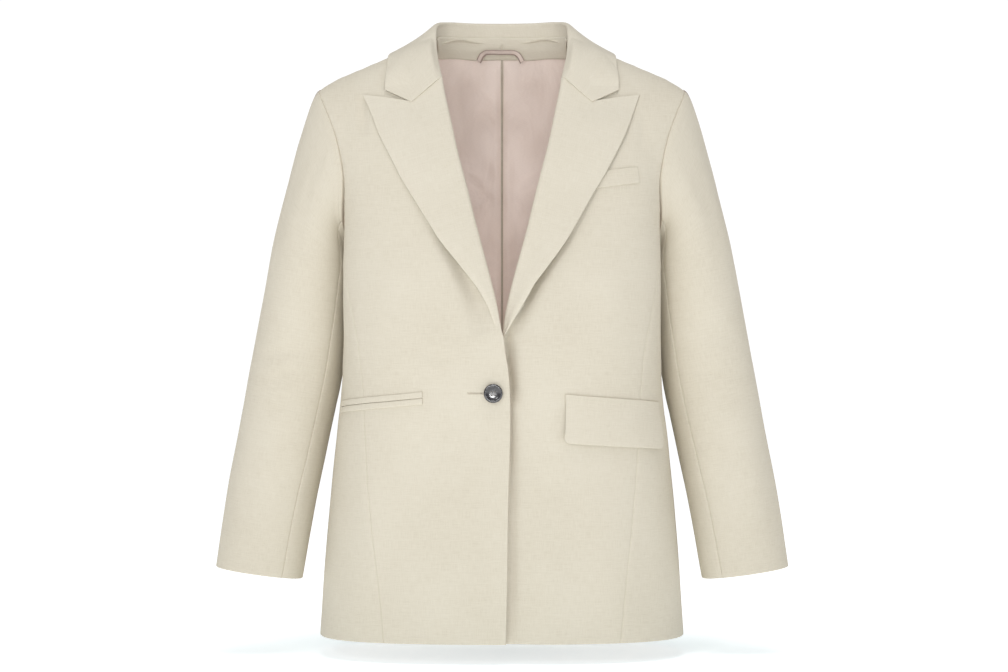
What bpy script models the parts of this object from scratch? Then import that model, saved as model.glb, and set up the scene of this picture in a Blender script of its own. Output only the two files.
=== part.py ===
"""Single breasted blazer with peaked lapels, one button, hollow and filled out.

Units are metres.  +Z is up, the front faces -Y, the wearer's left is +X.
The origin lies on the middle plane, level with the neck end of the shoulder seams.
Tables are in millimetres (levels and sizes) and degrees.
Every cloth piece is a wall swept over a patch of the garment's outer surface.
"""
import math

import bmesh
import bpy
import numpy as np

MM = 0.001

# ---------------------------------------------------------------- sizes
CLOTH = 2.0 * MM            # body cloth with its interlining
LINING = 1.0 * MM           # lining cloth
LEAF = 1.6 * MM             # lapel and collar cloth
GAP = 0.3 * MM              # between pieces at a seam
SOFT_GAP = 1.0 * MM         # between pieces that lie on one another

SQUARENESS = 2.8            # power of the trunk's oval sections
FRONT_ROUND = 170 * MM      # height over which the front rounds up to the shoulder
BACK_ROUND = 170 * MM
TUCK_CENTRE = 14 * MM        # where the side is pressed in under the arm
TUCK_REACH = 52 * MM
NAPE_RISE = 10 * MM         # the back stands up beside the nape
NAPE_ACROSS = 50 * MM
NAPE_BACK = 45 * MM
NAPE_SPREAD = 26 * MM
NECK_HALF = 84 * MM         # neckline of the back: half width and depth behind the shoulder line
NECK_DEPTH = 67.5 * MM
FACING_SHARE = 0.0262       # share of the back's length under the neck facing

SHOULDER_TIP = 222 * MM
HEM = -706 * MM
BREAK_LEVEL = -354 * MM     # foot of the roll lines
SIDE_SEAM_TOP = 140.0       # place on the armhole (see ARMHOLE) where the side panel starts
CAP_MARKS = (0, 5, 14, 24, 40, 60, 80, 100, 120, 130, 140)
SEAM_MARKS = (0.055, 0.11, 0.197, 0.237, 0.3, 0.417, 0.592, 0.79, 1.0)

FRONT_SPLIT = 0.36          # share of a front's rows beside the armhole
FRONT_SEAM_TOP = -225 * MM
FRONT_TURN_LEVEL = -250 * MM
BACK_SPLIT = 0.34
BACK_SEAM_TOP = -216 * MM
BACK_TURN_LEVEL = -240 * MM
NECK_SHARE = 0.46           # share of the back's top edge along the neckline
FACING_REACH = 0.40         # share of the back's top edge under the neck facing
FACING_TOP = 0.006

OVERLAP_HIDDEN = -32 * MM   # hidden edge of the under front
OVER_RISE = 2.0 * MM        # the over front stands out at the closure
UNDER_SINK = 6.5 * MM       # the under front lies back behind it
LAPEL_FOOT = -344 * MM      # the lapel pieces end here, on the front edge
ROLL_SET_BACK = 5.4         # the fronts stop this far behind the roll
ROLL_RADIUS = 3.6 * MM
INNER_LEAF = 14 * MM        # turned-in leaf behind the roll
OUTER_FACE = SOFT_GAP + LEAF
INNER_FACE = -(CLOTH + SOFT_GAP + LEAF)
Q_INNER = 0.14              # shares of a turned section: inner leaf, roll, outer leaf
Q_ROLL = 0.34
COLLAR_LIFT = 3.2 * MM      # the collar's fall stays this far off the trunk
COLLAR_DROP = 3.4 * MM

BUTTON_LEVEL = -418 * MM
BUTTON_X = -10 * MM
BUTTON_RADIUS = 11 * MM
BUTTON_THICK = 3.6 * MM
BUTTON_HOLE = 0.9 * MM
BUTTON_HOLE_PITCH = 1.9 * MM
THREAD_RADIUS = 1.3 * MM
SLOT_LENGTH = 29 * MM
SLOT_HALF = 0.8 * MM
SLOT_EYE = 2.2 * MM

# ---------------------------------------------------------------- tables
# the shoulder line, seen from the front
SHOULDER_COLUMNS = ("across", "height")
SHOULDER = (
    (0, 32.5),
    (6, 32.3),
    (20, 29.5),
    (40, 21.0),
    (60, 11.8),
    (78, 4),
    (136, -18.5),
    (173, -34),
    (202, -47),
    (222, -60),
    (260, -86),
)

# level sections of the trunk
TRUNK_COLUMNS = ("level", "half_width", "front_depth", "back_depth", "tuck")
TRUNK = (
    (40, 262, 58, 160, 0.0),
    (11, 258, 62, 135, 0.0),
    (-20, 255, 66, 113, 0.0),
    (-50, 251, 70, 110, 0.0),
    (-80, 240, 77, 109.5, 0.0),
    (-110, 225, 87, 109.5, 0.0),
    (-135, 214, 95, 111, 0.01),
    (-165, 205, 104, 112, 0.05),
    (-205, 200, 115, 111, 0.12),
    (-250, 199, 125, 106, 0.14),
    (-330, 196, 133, 99, 0.10),
    (-380, 192, 134, 96, 0.03),
    (-420, 191, 133, 96, 0.0),
    (-465, 197, 131, 98, 0.0),
    (-550, 205, 131, 106, 0.0),
    (-620, 211, 134, 113, 0.0),
    (-706, 217, 138, 119, 0.0),
)

# the armhole, from the shoulder tip (0) down to the underarm (180), front and back
ARMHOLE_COLUMNS = ("place", "front_level", "front_turn", "back_level", "back_turn")
ARMHOLE = (
    (0, -60, 11.8, -60, 17.5),
    (20, -78, 13.3, -76, 18.2),
    (45, -110, 15.8, -104, 18.4),
    (70, -138, 17.0, -130, 18.2),
    (95, -172, 17.2, -162, 17.2),
    (120, -203, 14.5, -192, 14.6),
    (140, -225, 10.0, -216, 10.4),
    (160, -240, 5.0, -237, 5.0),
    (180, -245, 0.0, -245, 0.0),
)

# the seams of the side panel, as turns round the trunk
SIDE_SEAM_COLUMNS = ("level", "front_turn", "back_turn")
SIDE_SEAM = (
    (-216, 8.0, 10.4),
    (-225, 10.0, 12.0),
    (-260, 16.5, 18.0),
    (-300, 22.5, 23.5),
    (-353, 27.5, 28.0),
    (-420, 30.0, 31.0),
    (-473, 32.0, 32.5),
    (-523, 33.6, 33.5),
    (-577, 36.0, 34.5),
    (-623, 38.4, 35.5),
    (-706, 42.0, 37.0),
)

# fronts' inner edge behind the roll, own side positive (same for both)
ROLL_COLUMNS = ("level", "crest")
ROLL = (
    (-46.8, 70.3),
    (-60, 68.0),
    (-90, 61.4),
    (-133, 52.2),
    (-177, 41.0),
    (-230, 27.8),
    (-280, 14.5),
    (-310, 7.2),
    (-340, 1.8),
    (-354, 0.6),
)

# fronts' neckline, under the collar
NECKLINE_COLUMNS = ("drop", "across")
NECKLINE = (
    (0, 96),
    (18, 96),
    (35, 94),
    (50, 87),
    (90, 67.5),
)

# outer edge of the lapels from the peak down
LAPEL_EDGE_COLUMNS = ("level", "over_edge", "under_edge")
LAPEL_EDGE = (
    (-67, 164.0, 162.0),
    (-90, 153.5, 153.5),
    (-113.5, 144.5, 144.5),
    (-145, 128.5, 129.0),
    (-168, 117.0, 116.5),
    (-182, 108.5, 108.0),
    (-220, 85.0, 86.5),
    (-240, 72.5, 75.0),
    (-274, 45.5, 51.0),
    (-300, 26.0, 32.0),
    (-339, 9.0, 9.0),
    (-354, 6.0, 6.0),
)

# the over front's edge from the break to the hem (towards the other side)
FRONT_EDGE_COLUMNS = ("level", "past_centre")
FRONT_EDGE = (
    (-340, 0.0),
    (-354, 1.5),
    (-374, 3.8),
    (-386, 5.8),
    (-414, 8.5),
    (-442, 9.1),
    (-541, 6.9),
    (-655, 5.2),
    (-706, 4.0),
)

# the collar, a row per section from the centre back to the gorge
COLLAR_COLUMNS = (
    "place",
    "seat_x", "seat_y", "seat_z",
    "fold_x", "fold_y", "fold_z",
    "mid_x", "mid_y", "mid_z",
    "edge_x", "edge_y", "edge_z",
)
COLLAR = (
    (0.00, 0, 66.5, 12.5, 0, 71.5, 31.0, 0, 80.0, 10.0, 0, 87.0, -12.0),
    (0.20, 34, 63.0, 11.5, 35, 67.5, 31.0, 42, 76.5, 10.5, 50, 82.5, -11.0),
    (0.38, 64, 45.0, 10.5, 66, 50.0, 30.5, 80, 57.0, 11.0, 94, 61.0, -9.0),
    (0.52, 77, 22.0, 8.0, 77.5, 25.0, 26.0, 99, 29.0, 9.0, 120, 31.0, -8.5),
    (0.65, 78, 3.0, 0.0, 79.5, 4.0, 14.5, 108, 3.0, 1.0, 134.5, 2.0, -13.0),
    (0.79, 76.5, -18.0, -20.0, 78, -17.0, -11.0, 108, -24.0, -13.5, 136.5, -30.0, -32.0),
    (0.91, 75, -37.0, -43.0, 73.5, -37.0, -34.0, 107, -47.0, -43.0, 138.0, -43.5, -49.0),
    (1.00, 80.5, -49.8, -58.7, 70.3, -49.7, -46.8, 106.3, -61.3, -76.5, 138.0, -48.0, -60.6),
)
COLLAR_END = 0.992          # the collar stops just short of the lapels
NOTCH = (106.3, -76.5)      # across, level
PEAK_TOP = (139.0, -70.5)   # a point on the lapel's top edge
NOTCH_SHARE = 0.45          # share of the lapel's top edge before the notch

# the sleeves, a row per ring from the biceps to the cuff
SLEEVE_COLUMNS = ("share", "centre_x", "centre_y", "level", "half_width", "half_depth", "tilt")
SLEEVE = (
    (0.00, 228.6, 14, -262, 49.4, 64.0, 12.0),
    (0.19, 238.3, 15, -330, 53.2, 62.0, 11.5),
    (0.37, 248.8, 14, -400, 54.8, 58.0, 11.0),
    (0.56, 261.8, 6, -470, 54.2, 53.0, 10.5),
    (0.75, 275.3, -5, -540, 53.6, 47.0, 9.5),
    (1.00, 289.3, -22, -632.4, 52.0, 41.5, 8.0),
)
SLEEVE_POWER = 2.1
CAP_SHARE = 0.34            # share of a sleeve's rows that belong to the cap
TOP_SLEEVE_FRONT = 131.0    # front sleeve seam, degrees round from the outer side
TOP_SLEEVE_BACK = -122.0    # back sleeve seam

# how a sleeve leaves the armhole: direction (out, forward, down) and reach
CAP_COLUMNS = ("place", "out", "forward", "down", "reach")
CAP = (
    (-180, 0.40, 0.00, 0.90, 0.60),
    (-140, 0.65, -0.35, 0.60, 0.70),
    (-90, 0.80, -0.25, 0.55, 0.75),
    (-45, 0.88, -0.15, 0.50, 0.40),
    (0, 0.86, 0.00, 0.55, 0.18),
    (45, 0.88, 0.10, 0.50, 0.40),
    (90, 0.85, 0.00, 0.55, 0.75),
    (140, 0.70, -0.30, 0.60, 0.70),
    (180, 0.40, 0.00, 0.90, 0.60),
)

# pocket strips: ends as (turn, level), then their height
CHEST_WELT = ((46.0, -163.2), (27.0, -154.5), 18.5)
RIGHT_POCKET = ((54.0, -416.5), (13.5, -429.0), 6.6)
FLAP_TOP = ((60.4, -419.5), (19.0, -430.0))
FLAP_HEIGHT = 55.5
FLAP_CORNER = 7.0
STRIP = 1.2 * MM            # pocket strips

# the hanging loop's middle line on the facing, as (across, level)
LOOP_COLUMNS = ("place", "across", "level")
LOOP = (
    (0.00, -30.5, -13.6),
    (0.14, -25.8, -5.6),
    (0.20, -22.0, -2.6),
    (0.28, -16.5, -1.5),
    (0.50, -2.2, -1.1),
    (0.72, 12.1, -1.5),
    (0.80, 17.6, -2.6),
    (0.86, 21.6, -5.6),
    (1.00, 26.5, -13.6),
)
LOOP_WIDTH = 5.6

# materials: colour, roughness, metallic
MATERIALS = {
    "cloth": ((0.72, 0.66, 0.54, 1.0), 0.9, 0.0),
    "lining": ((0.58, 0.48, 0.42, 1.0), 0.45, 0.0),
    "horn": ((0.055, 0.05, 0.048, 1.0), 0.25, 0.0),
    "thread": ((0.55, 0.5, 0.42, 1.0), 0.8, 0.0),
}


# ---------------------------------------------------------------- helpers
def column(columns, table, name):
    """One named column of a table."""
    place = columns.index(name)
    return np.array([row[place] for row in table], dtype=float)


def smooth(at, knots, values):
    """Cubic through the rows of a table, flat beyond its ends."""
    order = np.argsort(knots)
    knots = np.asarray(knots, dtype=float)[order]
    values = np.asarray(values, dtype=float)[order]
    slopes = np.gradient(values, knots)
    at = np.clip(at, knots[0], knots[-1])
    low = np.clip(np.searchsorted(knots, at) - 1, 0, len(knots) - 2)
    step = knots[low + 1] - knots[low]
    f = (at - knots[low]) / step
    start = values[low] * (1 + 2 * f) * (1 - f) ** 2
    end = values[low + 1] * f * f * (3 - 2 * f)
    bend = step * f * (1 - f) * (slopes[low] * (1 - f) - slopes[low + 1] * f)
    return start + end + bend


def ease(value):
    """Soft step from 0 to 1."""
    value = np.clip(value, 0.0, 1.0)
    return value * value * (3 - 2 * value)


def trunk_column(level, name):
    """A trunk size at a level, metres (the tuck is a share)."""
    found = smooth(level / MM, column(TRUNK_COLUMNS, TRUNK, "level"),
                   column(TRUNK_COLUMNS, TRUNK, name))
    return found if name == "tuck" else found * MM


def shoulder_height(across):
    """Height of the shoulder line."""
    return MM * smooth(np.abs(across) / MM, column(SHOULDER_COLUMNS, SHOULDER, "across"),
                       column(SHOULDER_COLUMNS, SHOULDER, "height"))


def rounding(across, level, height):
    """0 on the shoulder line, 1 below the rounded top."""
    drop = np.clip((shoulder_height(across) - level) / height, 0.0, 1.0)
    return np.sqrt(1.0 - (1.0 - drop) ** 2)


def oval(turn, level):
    """Plain oval section: distance across and depth at a turn, before rounding and tuck."""
    angle = np.radians(turn)
    half = trunk_column(level, "half_width")
    depth = np.where(np.sin(angle) >= 0, trunk_column(level, "front_depth"),
                     trunk_column(level, "back_depth"))
    reach = (np.abs(np.cos(angle) / half) ** SQUARENESS
             + np.abs(np.sin(angle) / depth) ** SQUARENESS) ** (-1.0 / SQUARENESS)
    return reach * np.cos(angle), -reach * np.sin(angle)


def trunk(turn, level):
    """Outer face of the trunk: turn 0 is the side, 90 the front, -90 the back."""
    x, y = oval(turn, level)
    y = y * rounding(x, level, np.where(y < 0, FRONT_ROUND, BACK_ROUND))
    pressed = np.exp(-((y - TUCK_CENTRE) / TUCK_REACH) ** 2)
    x = x * (1.0 - trunk_column(level, "tuck") * pressed)
    beside = ((np.abs(x) - NAPE_ACROSS) / NAPE_SPREAD) ** 2 + ((y - NAPE_BACK) / NAPE_SPREAD) ** 2
    nape = NAPE_RISE * np.exp(-beside) * ease((level + 90 * MM) / (80 * MM))
    return np.stack([x, y, level + nape], axis=-1)


def turn_at(across, level, back=False):
    """Turn of the point that lies at a distance across the front or back."""
    half = trunk_column(level, "half_width")
    depth = trunk_column(level, "back_depth" if back else "front_depth")
    share = np.clip(1.0 - np.abs(across / half) ** SQUARENESS, 0.0, 1.0)
    turn = np.degrees(np.arctan2(depth * share ** (1.0 / SQUARENESS), across))
    return -turn if back else turn


def lap_shift(across, level, over):
    """Step of the fronts along Y where they lap: the over front out, the under front in."""
    near = ease((60 * MM - across) / (60 * MM))
    low = ease((-240 * MM - level) / (90 * MM))
    if over:
        return -OVER_RISE * near * low
    return UNDER_SINK * near * low


def front_face(across, level, over):
    """Outer face of a front by distance across (own side positive) and level."""
    point = trunk(turn_at(across, level), level)
    point[..., 1] = point[..., 1] + lap_shift(across, level, over)
    return point


def armhole(place):
    """Turn and level round the armhole; place runs -180..180, the front positive."""
    places = column(ARMHOLE_COLUMNS, ARMHOLE, "place")
    read = [smooth(np.abs(place), places, column(ARMHOLE_COLUMNS, ARMHOLE, name))
            for name in ARMHOLE_COLUMNS[1:]]
    is_front = np.asarray(place) >= 0
    level = MM * np.where(is_front, read[0], read[2])
    turn = np.where(is_front, read[1], -read[3])
    tip = np.clip(1 - np.abs(place) / 12.0, 0, 1) ** 2
    level = level + (shoulder_height(oval(turn, level)[0]) - level) * tip
    return turn, level


def side_seam(level, name):
    """Turn of a side panel seam at a level."""
    turn = smooth(level / MM, column(SIDE_SEAM_COLUMNS, SIDE_SEAM, "level"),
                  column(SIDE_SEAM_COLUMNS, SIDE_SEAM, name))
    return -turn if name == "back_turn" else turn


def normals(face, u, v, sign):
    """Unit normals of a face, from small steps inside the patch."""
    step = 2e-4
    u0 = np.clip(u - step, 0, 1)
    u1 = np.clip(u + step, 0, 1)
    v0 = np.clip(v - step, 0, 1)
    v1 = np.clip(v + step, 0, 1)
    normal = np.cross(face(u1, v) - face(u0, v), face(u, v1) - face(u, v0))
    length = np.linalg.norm(normal, axis=-1, keepdims=True)
    return sign * normal / np.maximum(length, 1e-12)


# ---------------------------------------------------------------- scene and materials
def clear_scene():
    """Remove whatever the file starts with."""
    for item in list(bpy.data.objects):
        bpy.data.objects.remove(item, do_unlink=True)


def make_material(name):
    """A plain Principled material."""
    colour, roughness, metallic = MATERIALS[name]
    material = bpy.data.materials.new(name)
    material.use_nodes = True
    shader = material.node_tree.nodes["Principled BSDF"]
    shader.inputs["Base Color"].default_value = colour
    shader.inputs["Roughness"].default_value = roughness
    shader.inputs["Metallic"].default_value = metallic
    material.diffuse_color = colour
    return material


def add_object(name, mesh_builder, material, collection):
    """Turn a bmesh into a named object with one material."""
    bmesh.ops.recalc_face_normals(mesh_builder, faces=mesh_builder.faces[:])
    mesh = bpy.data.meshes.new(name)
    mesh_builder.to_mesh(mesh)
    mesh_builder.free()
    mesh.materials.append(material)
    item = bpy.data.objects.new(name, mesh)
    collection.objects.link(item)
    return item


def wall(name, face, across, down, thickness, sign, material, collection,
         side=1, lift=0.0, u_marks=None, v_marks=None):
    """A closed wall swept over face(u, v): outer skin, inner skin and four rims."""
    us = np.linspace(0, 1, across + 1) if u_marks is None else np.array(u_marks)
    vs = np.linspace(0, 1, down + 1) if v_marks is None else np.array(v_marks)
    v, u = np.meshgrid(vs, us, indexing="ij")
    points = face(u, v)
    out = normals(face, u, v, sign)
    mirror = np.array([side, 1.0, 1.0])
    skins = [(points + out * lift) * mirror, (points + out * (lift - thickness)) * mirror]
    rows, cols = u.shape
    build = bmesh.new()
    grid = [[[build.verts.new(skin[r, c]) for c in range(cols)] for r in range(rows)]
            for skin in skins]
    for skin in grid:
        for r in range(rows - 1):
            for c in range(cols - 1):
                build.faces.new((skin[r][c], skin[r][c + 1], skin[r + 1][c + 1], skin[r + 1][c]))
    outer, inner = grid
    for r in range(rows - 1):
        for c in (0, cols - 1):
            build.faces.new((outer[r][c], outer[r + 1][c], inner[r + 1][c], inner[r][c]))
    for c in range(cols - 1):
        for r in (0, rows - 1):
            build.faces.new((outer[r][c], outer[r][c + 1], inner[r][c + 1], inner[r][c]))
    return add_object(name, build, material, collection)


# ---------------------------------------------------------------- trunk pieces
def row_marks(split):
    """Rows of a trunk patch: the armhole marks, then even rows down to the hem."""
    upper = [split * mark / SIDE_SEAM_TOP for mark in CAP_MARKS]
    lower = [split + (1 - split) * mark for mark in SEAM_MARKS]
    return upper + lower


def outer_edge(v, split, seam_top, front):
    """Turn and level down the armhole and then the side panel's seam."""
    upper = np.clip(v / split, 0, 1)
    lower = np.clip((v - split) / (1 - split), 0, 1)
    hole_turn, hole_level = armhole((1 if front else -1) * SIDE_SEAM_TOP * upper)
    level = np.where(v < split, hole_level, seam_top + (HEM - seam_top) * lower)
    seam = side_seam(level, "front_turn" if front else "back_turn")
    return np.where(v < split, hole_turn, seam), level


def front_inner(level, over):
    """Distance across of a front's inner edge: neckline, roll, then front edge."""
    neck = np.interp(-level / MM, column(NECKLINE_COLUMNS, NECKLINE, "drop"),
                     column(NECKLINE_COLUMNS, NECKLINE, "across"))
    roll = ROLL_SET_BACK + smooth(level / MM, column(ROLL_COLUMNS, ROLL, "level"),
                        column(ROLL_COLUMNS, ROLL, "crest"))
    inner = np.where(level > -90 * MM, neck, roll) * MM
    if over:
        edge = -MM * smooth(level / MM, column(FRONT_EDGE_COLUMNS, FRONT_EDGE, "level"),
                            column(FRONT_EDGE_COLUMNS, FRONT_EDGE, "past_centre"))
    else:
        edge = OVERLAP_HIDDEN * ease((BREAK_LEVEL - level) / (40 * MM))
    below = ease((LAPEL_FOOT - 1 * MM - level) / (11 * MM))
    return inner * (1 - below) + edge * below


def front_patch(over):
    """Patch of one front: u from the inner edge to the side, v from the shoulder to the hem."""
    def face(u, v):
        out_turn, out_level = outer_edge(v, FRONT_SPLIT, FRONT_SEAM_TOP, True)
        out_turn = out_turn + 0.05
        out_across = oval(out_turn, out_level)[0]
        neck = front_inner(0 * v, over)
        top = shoulder_height(neck)
        foot = FRONT_TURN_LEVEL
        in_level = np.where(v < FRONT_SPLIT, top + (foot - top) * v / FRONT_SPLIT,
                            foot + (HEM - foot) * (v - FRONT_SPLIT) / (1 - FRONT_SPLIT))
        inner = front_inner(in_level, over)
        across = inner + (out_across - inner) * u
        in_drop = shoulder_height(inner) - in_level
        out_drop = shoulder_height(out_across) - out_level
        hung = shoulder_height(across) - np.maximum(in_drop + (out_drop - in_drop) * u, 0.02 * MM)
        settle = ease(v / FRONT_SPLIT)
        level = hung + (in_level + (out_level - in_level) * u - hung) * settle
        by_across = turn_at(across, level)
        by_turn = turn_at(inner, in_level)
        by_turn = by_turn + (out_turn - by_turn) * u
        point = trunk(by_across + (by_turn - by_across) * settle, level)
        point[..., 1] = point[..., 1] + lap_shift(point[..., 0], level, over) - 0.5 * GAP
        return point

    return face


def side_patch(u, v):
    """Patch of a side panel: u from its front seam to its back seam, v downward."""
    place = SIDE_SEAM_TOP + (360 - 2 * SIDE_SEAM_TOP) * u
    place = np.where(place > 180, place - 360, place)
    hole_turn, hole_level = armhole(place)
    top_front = side_seam(hole_level, "front_turn")
    top_back = side_seam(hole_level, "back_turn")
    top_share = (top_front - hole_turn) / (top_front - top_back)
    level = hole_level + (HEM - hole_level) * v
    share = top_share + (u - top_share) * ease(v * 3.0)
    front = side_seam(level, "front_turn") - 0.05
    back = side_seam(level, "back_turn") + 0.05
    return trunk(front + (back - front) * share, level)


def back_top(u):
    """Distance across and drop of the back's top edge: the neckline, then the shoulder line."""
    curve = np.clip(u / NECK_SHARE, 0, 1) * math.pi / 2
    beyond = np.clip((u - NECK_SHARE) / (1 - NECK_SHARE), 0, 1)
    across = np.where(u <= NECK_SHARE, NECK_HALF * np.sin(curve),
                      NECK_HALF + (SHOULDER_TIP - NECK_HALF) * beyond)
    behind = np.where(u <= NECK_SHARE, NECK_DEPTH * np.cos(curve), 0.0)
    depth = trunk_column(5 * MM, "back_depth")
    return across, BACK_ROUND * (1 - np.sqrt(1 - (behind / depth) ** 2))


def back_patch(u, v):
    """Patch of a back half: u from the centre back to the side, v downward."""
    out_turn, out_level = outer_edge(v, BACK_SPLIT, BACK_SEAM_TOP, False)
    out_turn = out_turn - 0.05
    out_across = oval(out_turn, out_level)[0]
    neck_drop = back_top(0 * u)[1]
    top = shoulder_height(0 * u) - neck_drop
    foot = BACK_TURN_LEVEL
    in_level = np.where(v < BACK_SPLIT, top + (foot - top) * v / BACK_SPLIT,
                        foot + (HEM - foot) * (v - BACK_SPLIT) / (1 - BACK_SPLIT))
    inner = 0.5 * GAP
    settle = ease(v / BACK_SPLIT)
    top_across, top_drop = back_top(u)
    fade = (1 - np.clip(v / BACK_SPLIT, 0, 1)) ** 2
    across = inner + (out_across - inner) * u
    top_across = np.maximum(top_across, inner)
    across = across + (top_across - (inner + (SHOULDER_TIP - inner) * u)) * fade
    in_drop = shoulder_height(0 * u) - in_level
    out_drop = shoulder_height(out_across) - out_level
    drop = in_drop + (out_drop - in_drop) * u
    drop = drop + (top_drop - neck_drop * (1 - u)) * fade
    hung = shoulder_height(across) - np.maximum(drop, 0.02 * MM)
    level = hung + (in_level + (out_level - in_level) * u - hung) * settle
    by_across = turn_at(across, level, back=True)
    by_turn = turn_at(inner + 0 * u, in_level, back=True)
    by_turn = by_turn + (out_turn - by_turn) * u
    point = trunk(by_across + (by_turn - by_across) * settle, level)
    point[..., 1] = point[..., 1] + 0.5 * GAP
    return point


def facing_patch(u, v):
    """The neck facing, from shoulder to shoulder over the inside of the back."""
    across = 2 * u - 1
    point = back_patch(np.abs(across) * FACING_REACH,
                       FACING_TOP + v * (FACING_SHARE - FACING_TOP))
    point[..., 0] = np.sign(across) * (point[..., 0] - 0.5 * GAP * (1 - np.abs(across)))
    return point


# ---------------------------------------------------------------- sleeves
def sleeve_ring(around, share):
    """Point on the sleeve's tube; around is 0 on the outer side, 90 in front."""
    shares = column(SLEEVE_COLUMNS, SLEEVE, "share")
    size = {name: smooth(share, shares, column(SLEEVE_COLUMNS, SLEEVE, name))
            for name in SLEEVE_COLUMNS[1:]}
    angle = np.radians(around)
    tilt = np.radians(size["tilt"])
    reach = (np.abs(np.cos(angle) / size["half_width"]) ** SLEEVE_POWER
             + np.abs(np.sin(angle) / size["half_depth"]) ** SLEEVE_POWER) ** (-1 / SLEEVE_POWER)
    out = reach * np.cos(angle)
    x = size["centre_x"] + out * np.cos(tilt)
    y = size["centre_y"] - reach * np.sin(angle)
    z = size["level"] + out * np.sin(tilt)
    return MM * np.stack([x, y, z], axis=-1)


def sleeve(around, v):
    """Outer face of a sleeve from the armhole (v 0) to the cuff (v 1)."""
    place = np.where(around > 180, around - 360, around)
    places = column(CAP_COLUMNS, CAP, "place")
    read = [smooth(place, places, column(CAP_COLUMNS, CAP, name)) for name in CAP_COLUMNS[1:]]
    lead = np.stack([read[0], -read[1], -read[2]], axis=-1)
    lead = lead / np.linalg.norm(lead, axis=-1, keepdims=True)
    turn, level = armhole(place)
    start = trunk(turn, level)
    tiny = 0.5
    face_out = np.cross(trunk(turn + tiny, level) - start, trunk(turn, level - tiny * MM) - start)
    face_out = face_out / np.linalg.norm(face_out, axis=-1, keepdims=True)
    hang = np.sin(np.radians(place) / 2)[..., None] ** 2
    start = start + lead * (2 * GAP) + face_out * (5 * GAP * hang)
    ring = sleeve_ring(around, 0 * v)
    onward = sleeve_ring(around, 0 * v + 0.02) - ring
    onward = onward / np.linalg.norm(onward, axis=-1, keepdims=True)
    span = np.linalg.norm(ring - start, axis=-1, keepdims=True)
    f = np.clip(v / CAP_SHARE, 0, 1)[..., None]
    cap = (start * (1 + 2 * f) * (1 - f) ** 2 + ring * f * f * (3 - 2 * f)
           + f * (1 - f) * span * (lead * read[3][..., None] * (1 - f) - onward * f))
    tube = sleeve_ring(around, np.clip((v - CAP_SHARE) / (1 - CAP_SHARE), 0, 1))
    return np.where((v < CAP_SHARE)[..., None], cap, tube)


def top_sleeve_patch(u, v):
    """Upper sleeve piece: u from the back seam round the outer side to the front seam."""
    start = TOP_SLEEVE_BACK + 0.15
    return sleeve(start + (TOP_SLEEVE_FRONT - 0.15 - start) * u, v)


def under_sleeve_patch(u, v):
    """Under sleeve piece: u from the front seam round the inner side to the back seam."""
    start = TOP_SLEEVE_FRONT + 0.15
    return sleeve(start + (TOP_SLEEVE_BACK + 360 - 0.15 - start) * u, v)


# ---------------------------------------------------------------- lapels and collar
def lapel_lift(u, w, over):
    """How far the lapel's outer leaf stands off the front."""
    belly = 1.6 * MM * np.sin(np.pi * np.clip(w, 0, 1)) ** 1.2 * (0.2 + 0.8 * ease(u / 0.15))
    if not over:
        belly = belly + 1.9 * MM * ease(w / 0.3) * ease(u / 0.15)
    low = ease((u - 0.35) / 0.3) * ease((1 - u) / 0.15)
    edge = (3.0 if over else 4.5) * MM * w * w * low
    return belly + edge


def lapel_plan(u, w, over):
    """Front view of the outer leaf: distance across and level."""
    crest_level = (ROLL[0][0] + (LAPEL_FOOT / MM - ROLL[0][0]) * u) * MM
    crest = MM * smooth(crest_level / MM, column(ROLL_COLUMNS, ROLL, "level"),
                        column(ROLL_COLUMNS, ROLL, "crest"))
    edge_level = (LAPEL_EDGE[0][0] + (LAPEL_FOOT / MM - LAPEL_EDGE[0][0]) * u) * MM
    edge = MM * smooth(edge_level / MM, column(LAPEL_EDGE_COLUMNS, LAPEL_EDGE, "level"),
                       column(LAPEL_EDGE_COLUMNS, LAPEL_EDGE, "over_edge" if over else "under_edge"))
    shares = [0, NOTCH_SHARE, 0.76, 1]
    top_x = np.interp(w, shares, [ROLL[0][1], NOTCH[0], PEAK_TOP[0], LAPEL_EDGE[0][1]]) * MM
    top_z = np.interp(w, shares, [ROLL[0][0], NOTCH[1], PEAK_TOP[1], LAPEL_EDGE[0][0]]) * MM
    bend_x = top_x - (ROLL[0][1] + (LAPEL_EDGE[0][1] - ROLL[0][1]) * w) * MM
    bend_z = top_z - (ROLL[0][0] + (LAPEL_EDGE[0][0] - ROLL[0][0]) * w) * MM
    fade = np.clip(1 - u / 0.3, 0, 1) ** 2
    across = crest + (edge - crest) * w + bend_x * fade
    level = crest_level + (edge_level - crest_level) * w + bend_z * fade - 0.8 * MM * fade
    return across, level, edge - crest


def front_out(across, level, over):
    """Outward unit normal of a front."""
    step = 0.5 * MM
    side = front_face(across + step, level, over) - front_face(across - step, level, over)
    down = front_face(across, level - step, over) - front_face(across, level + step, over)
    out = np.cross(down, side)
    return out / np.linalg.norm(out, axis=-1, keepdims=True)


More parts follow.
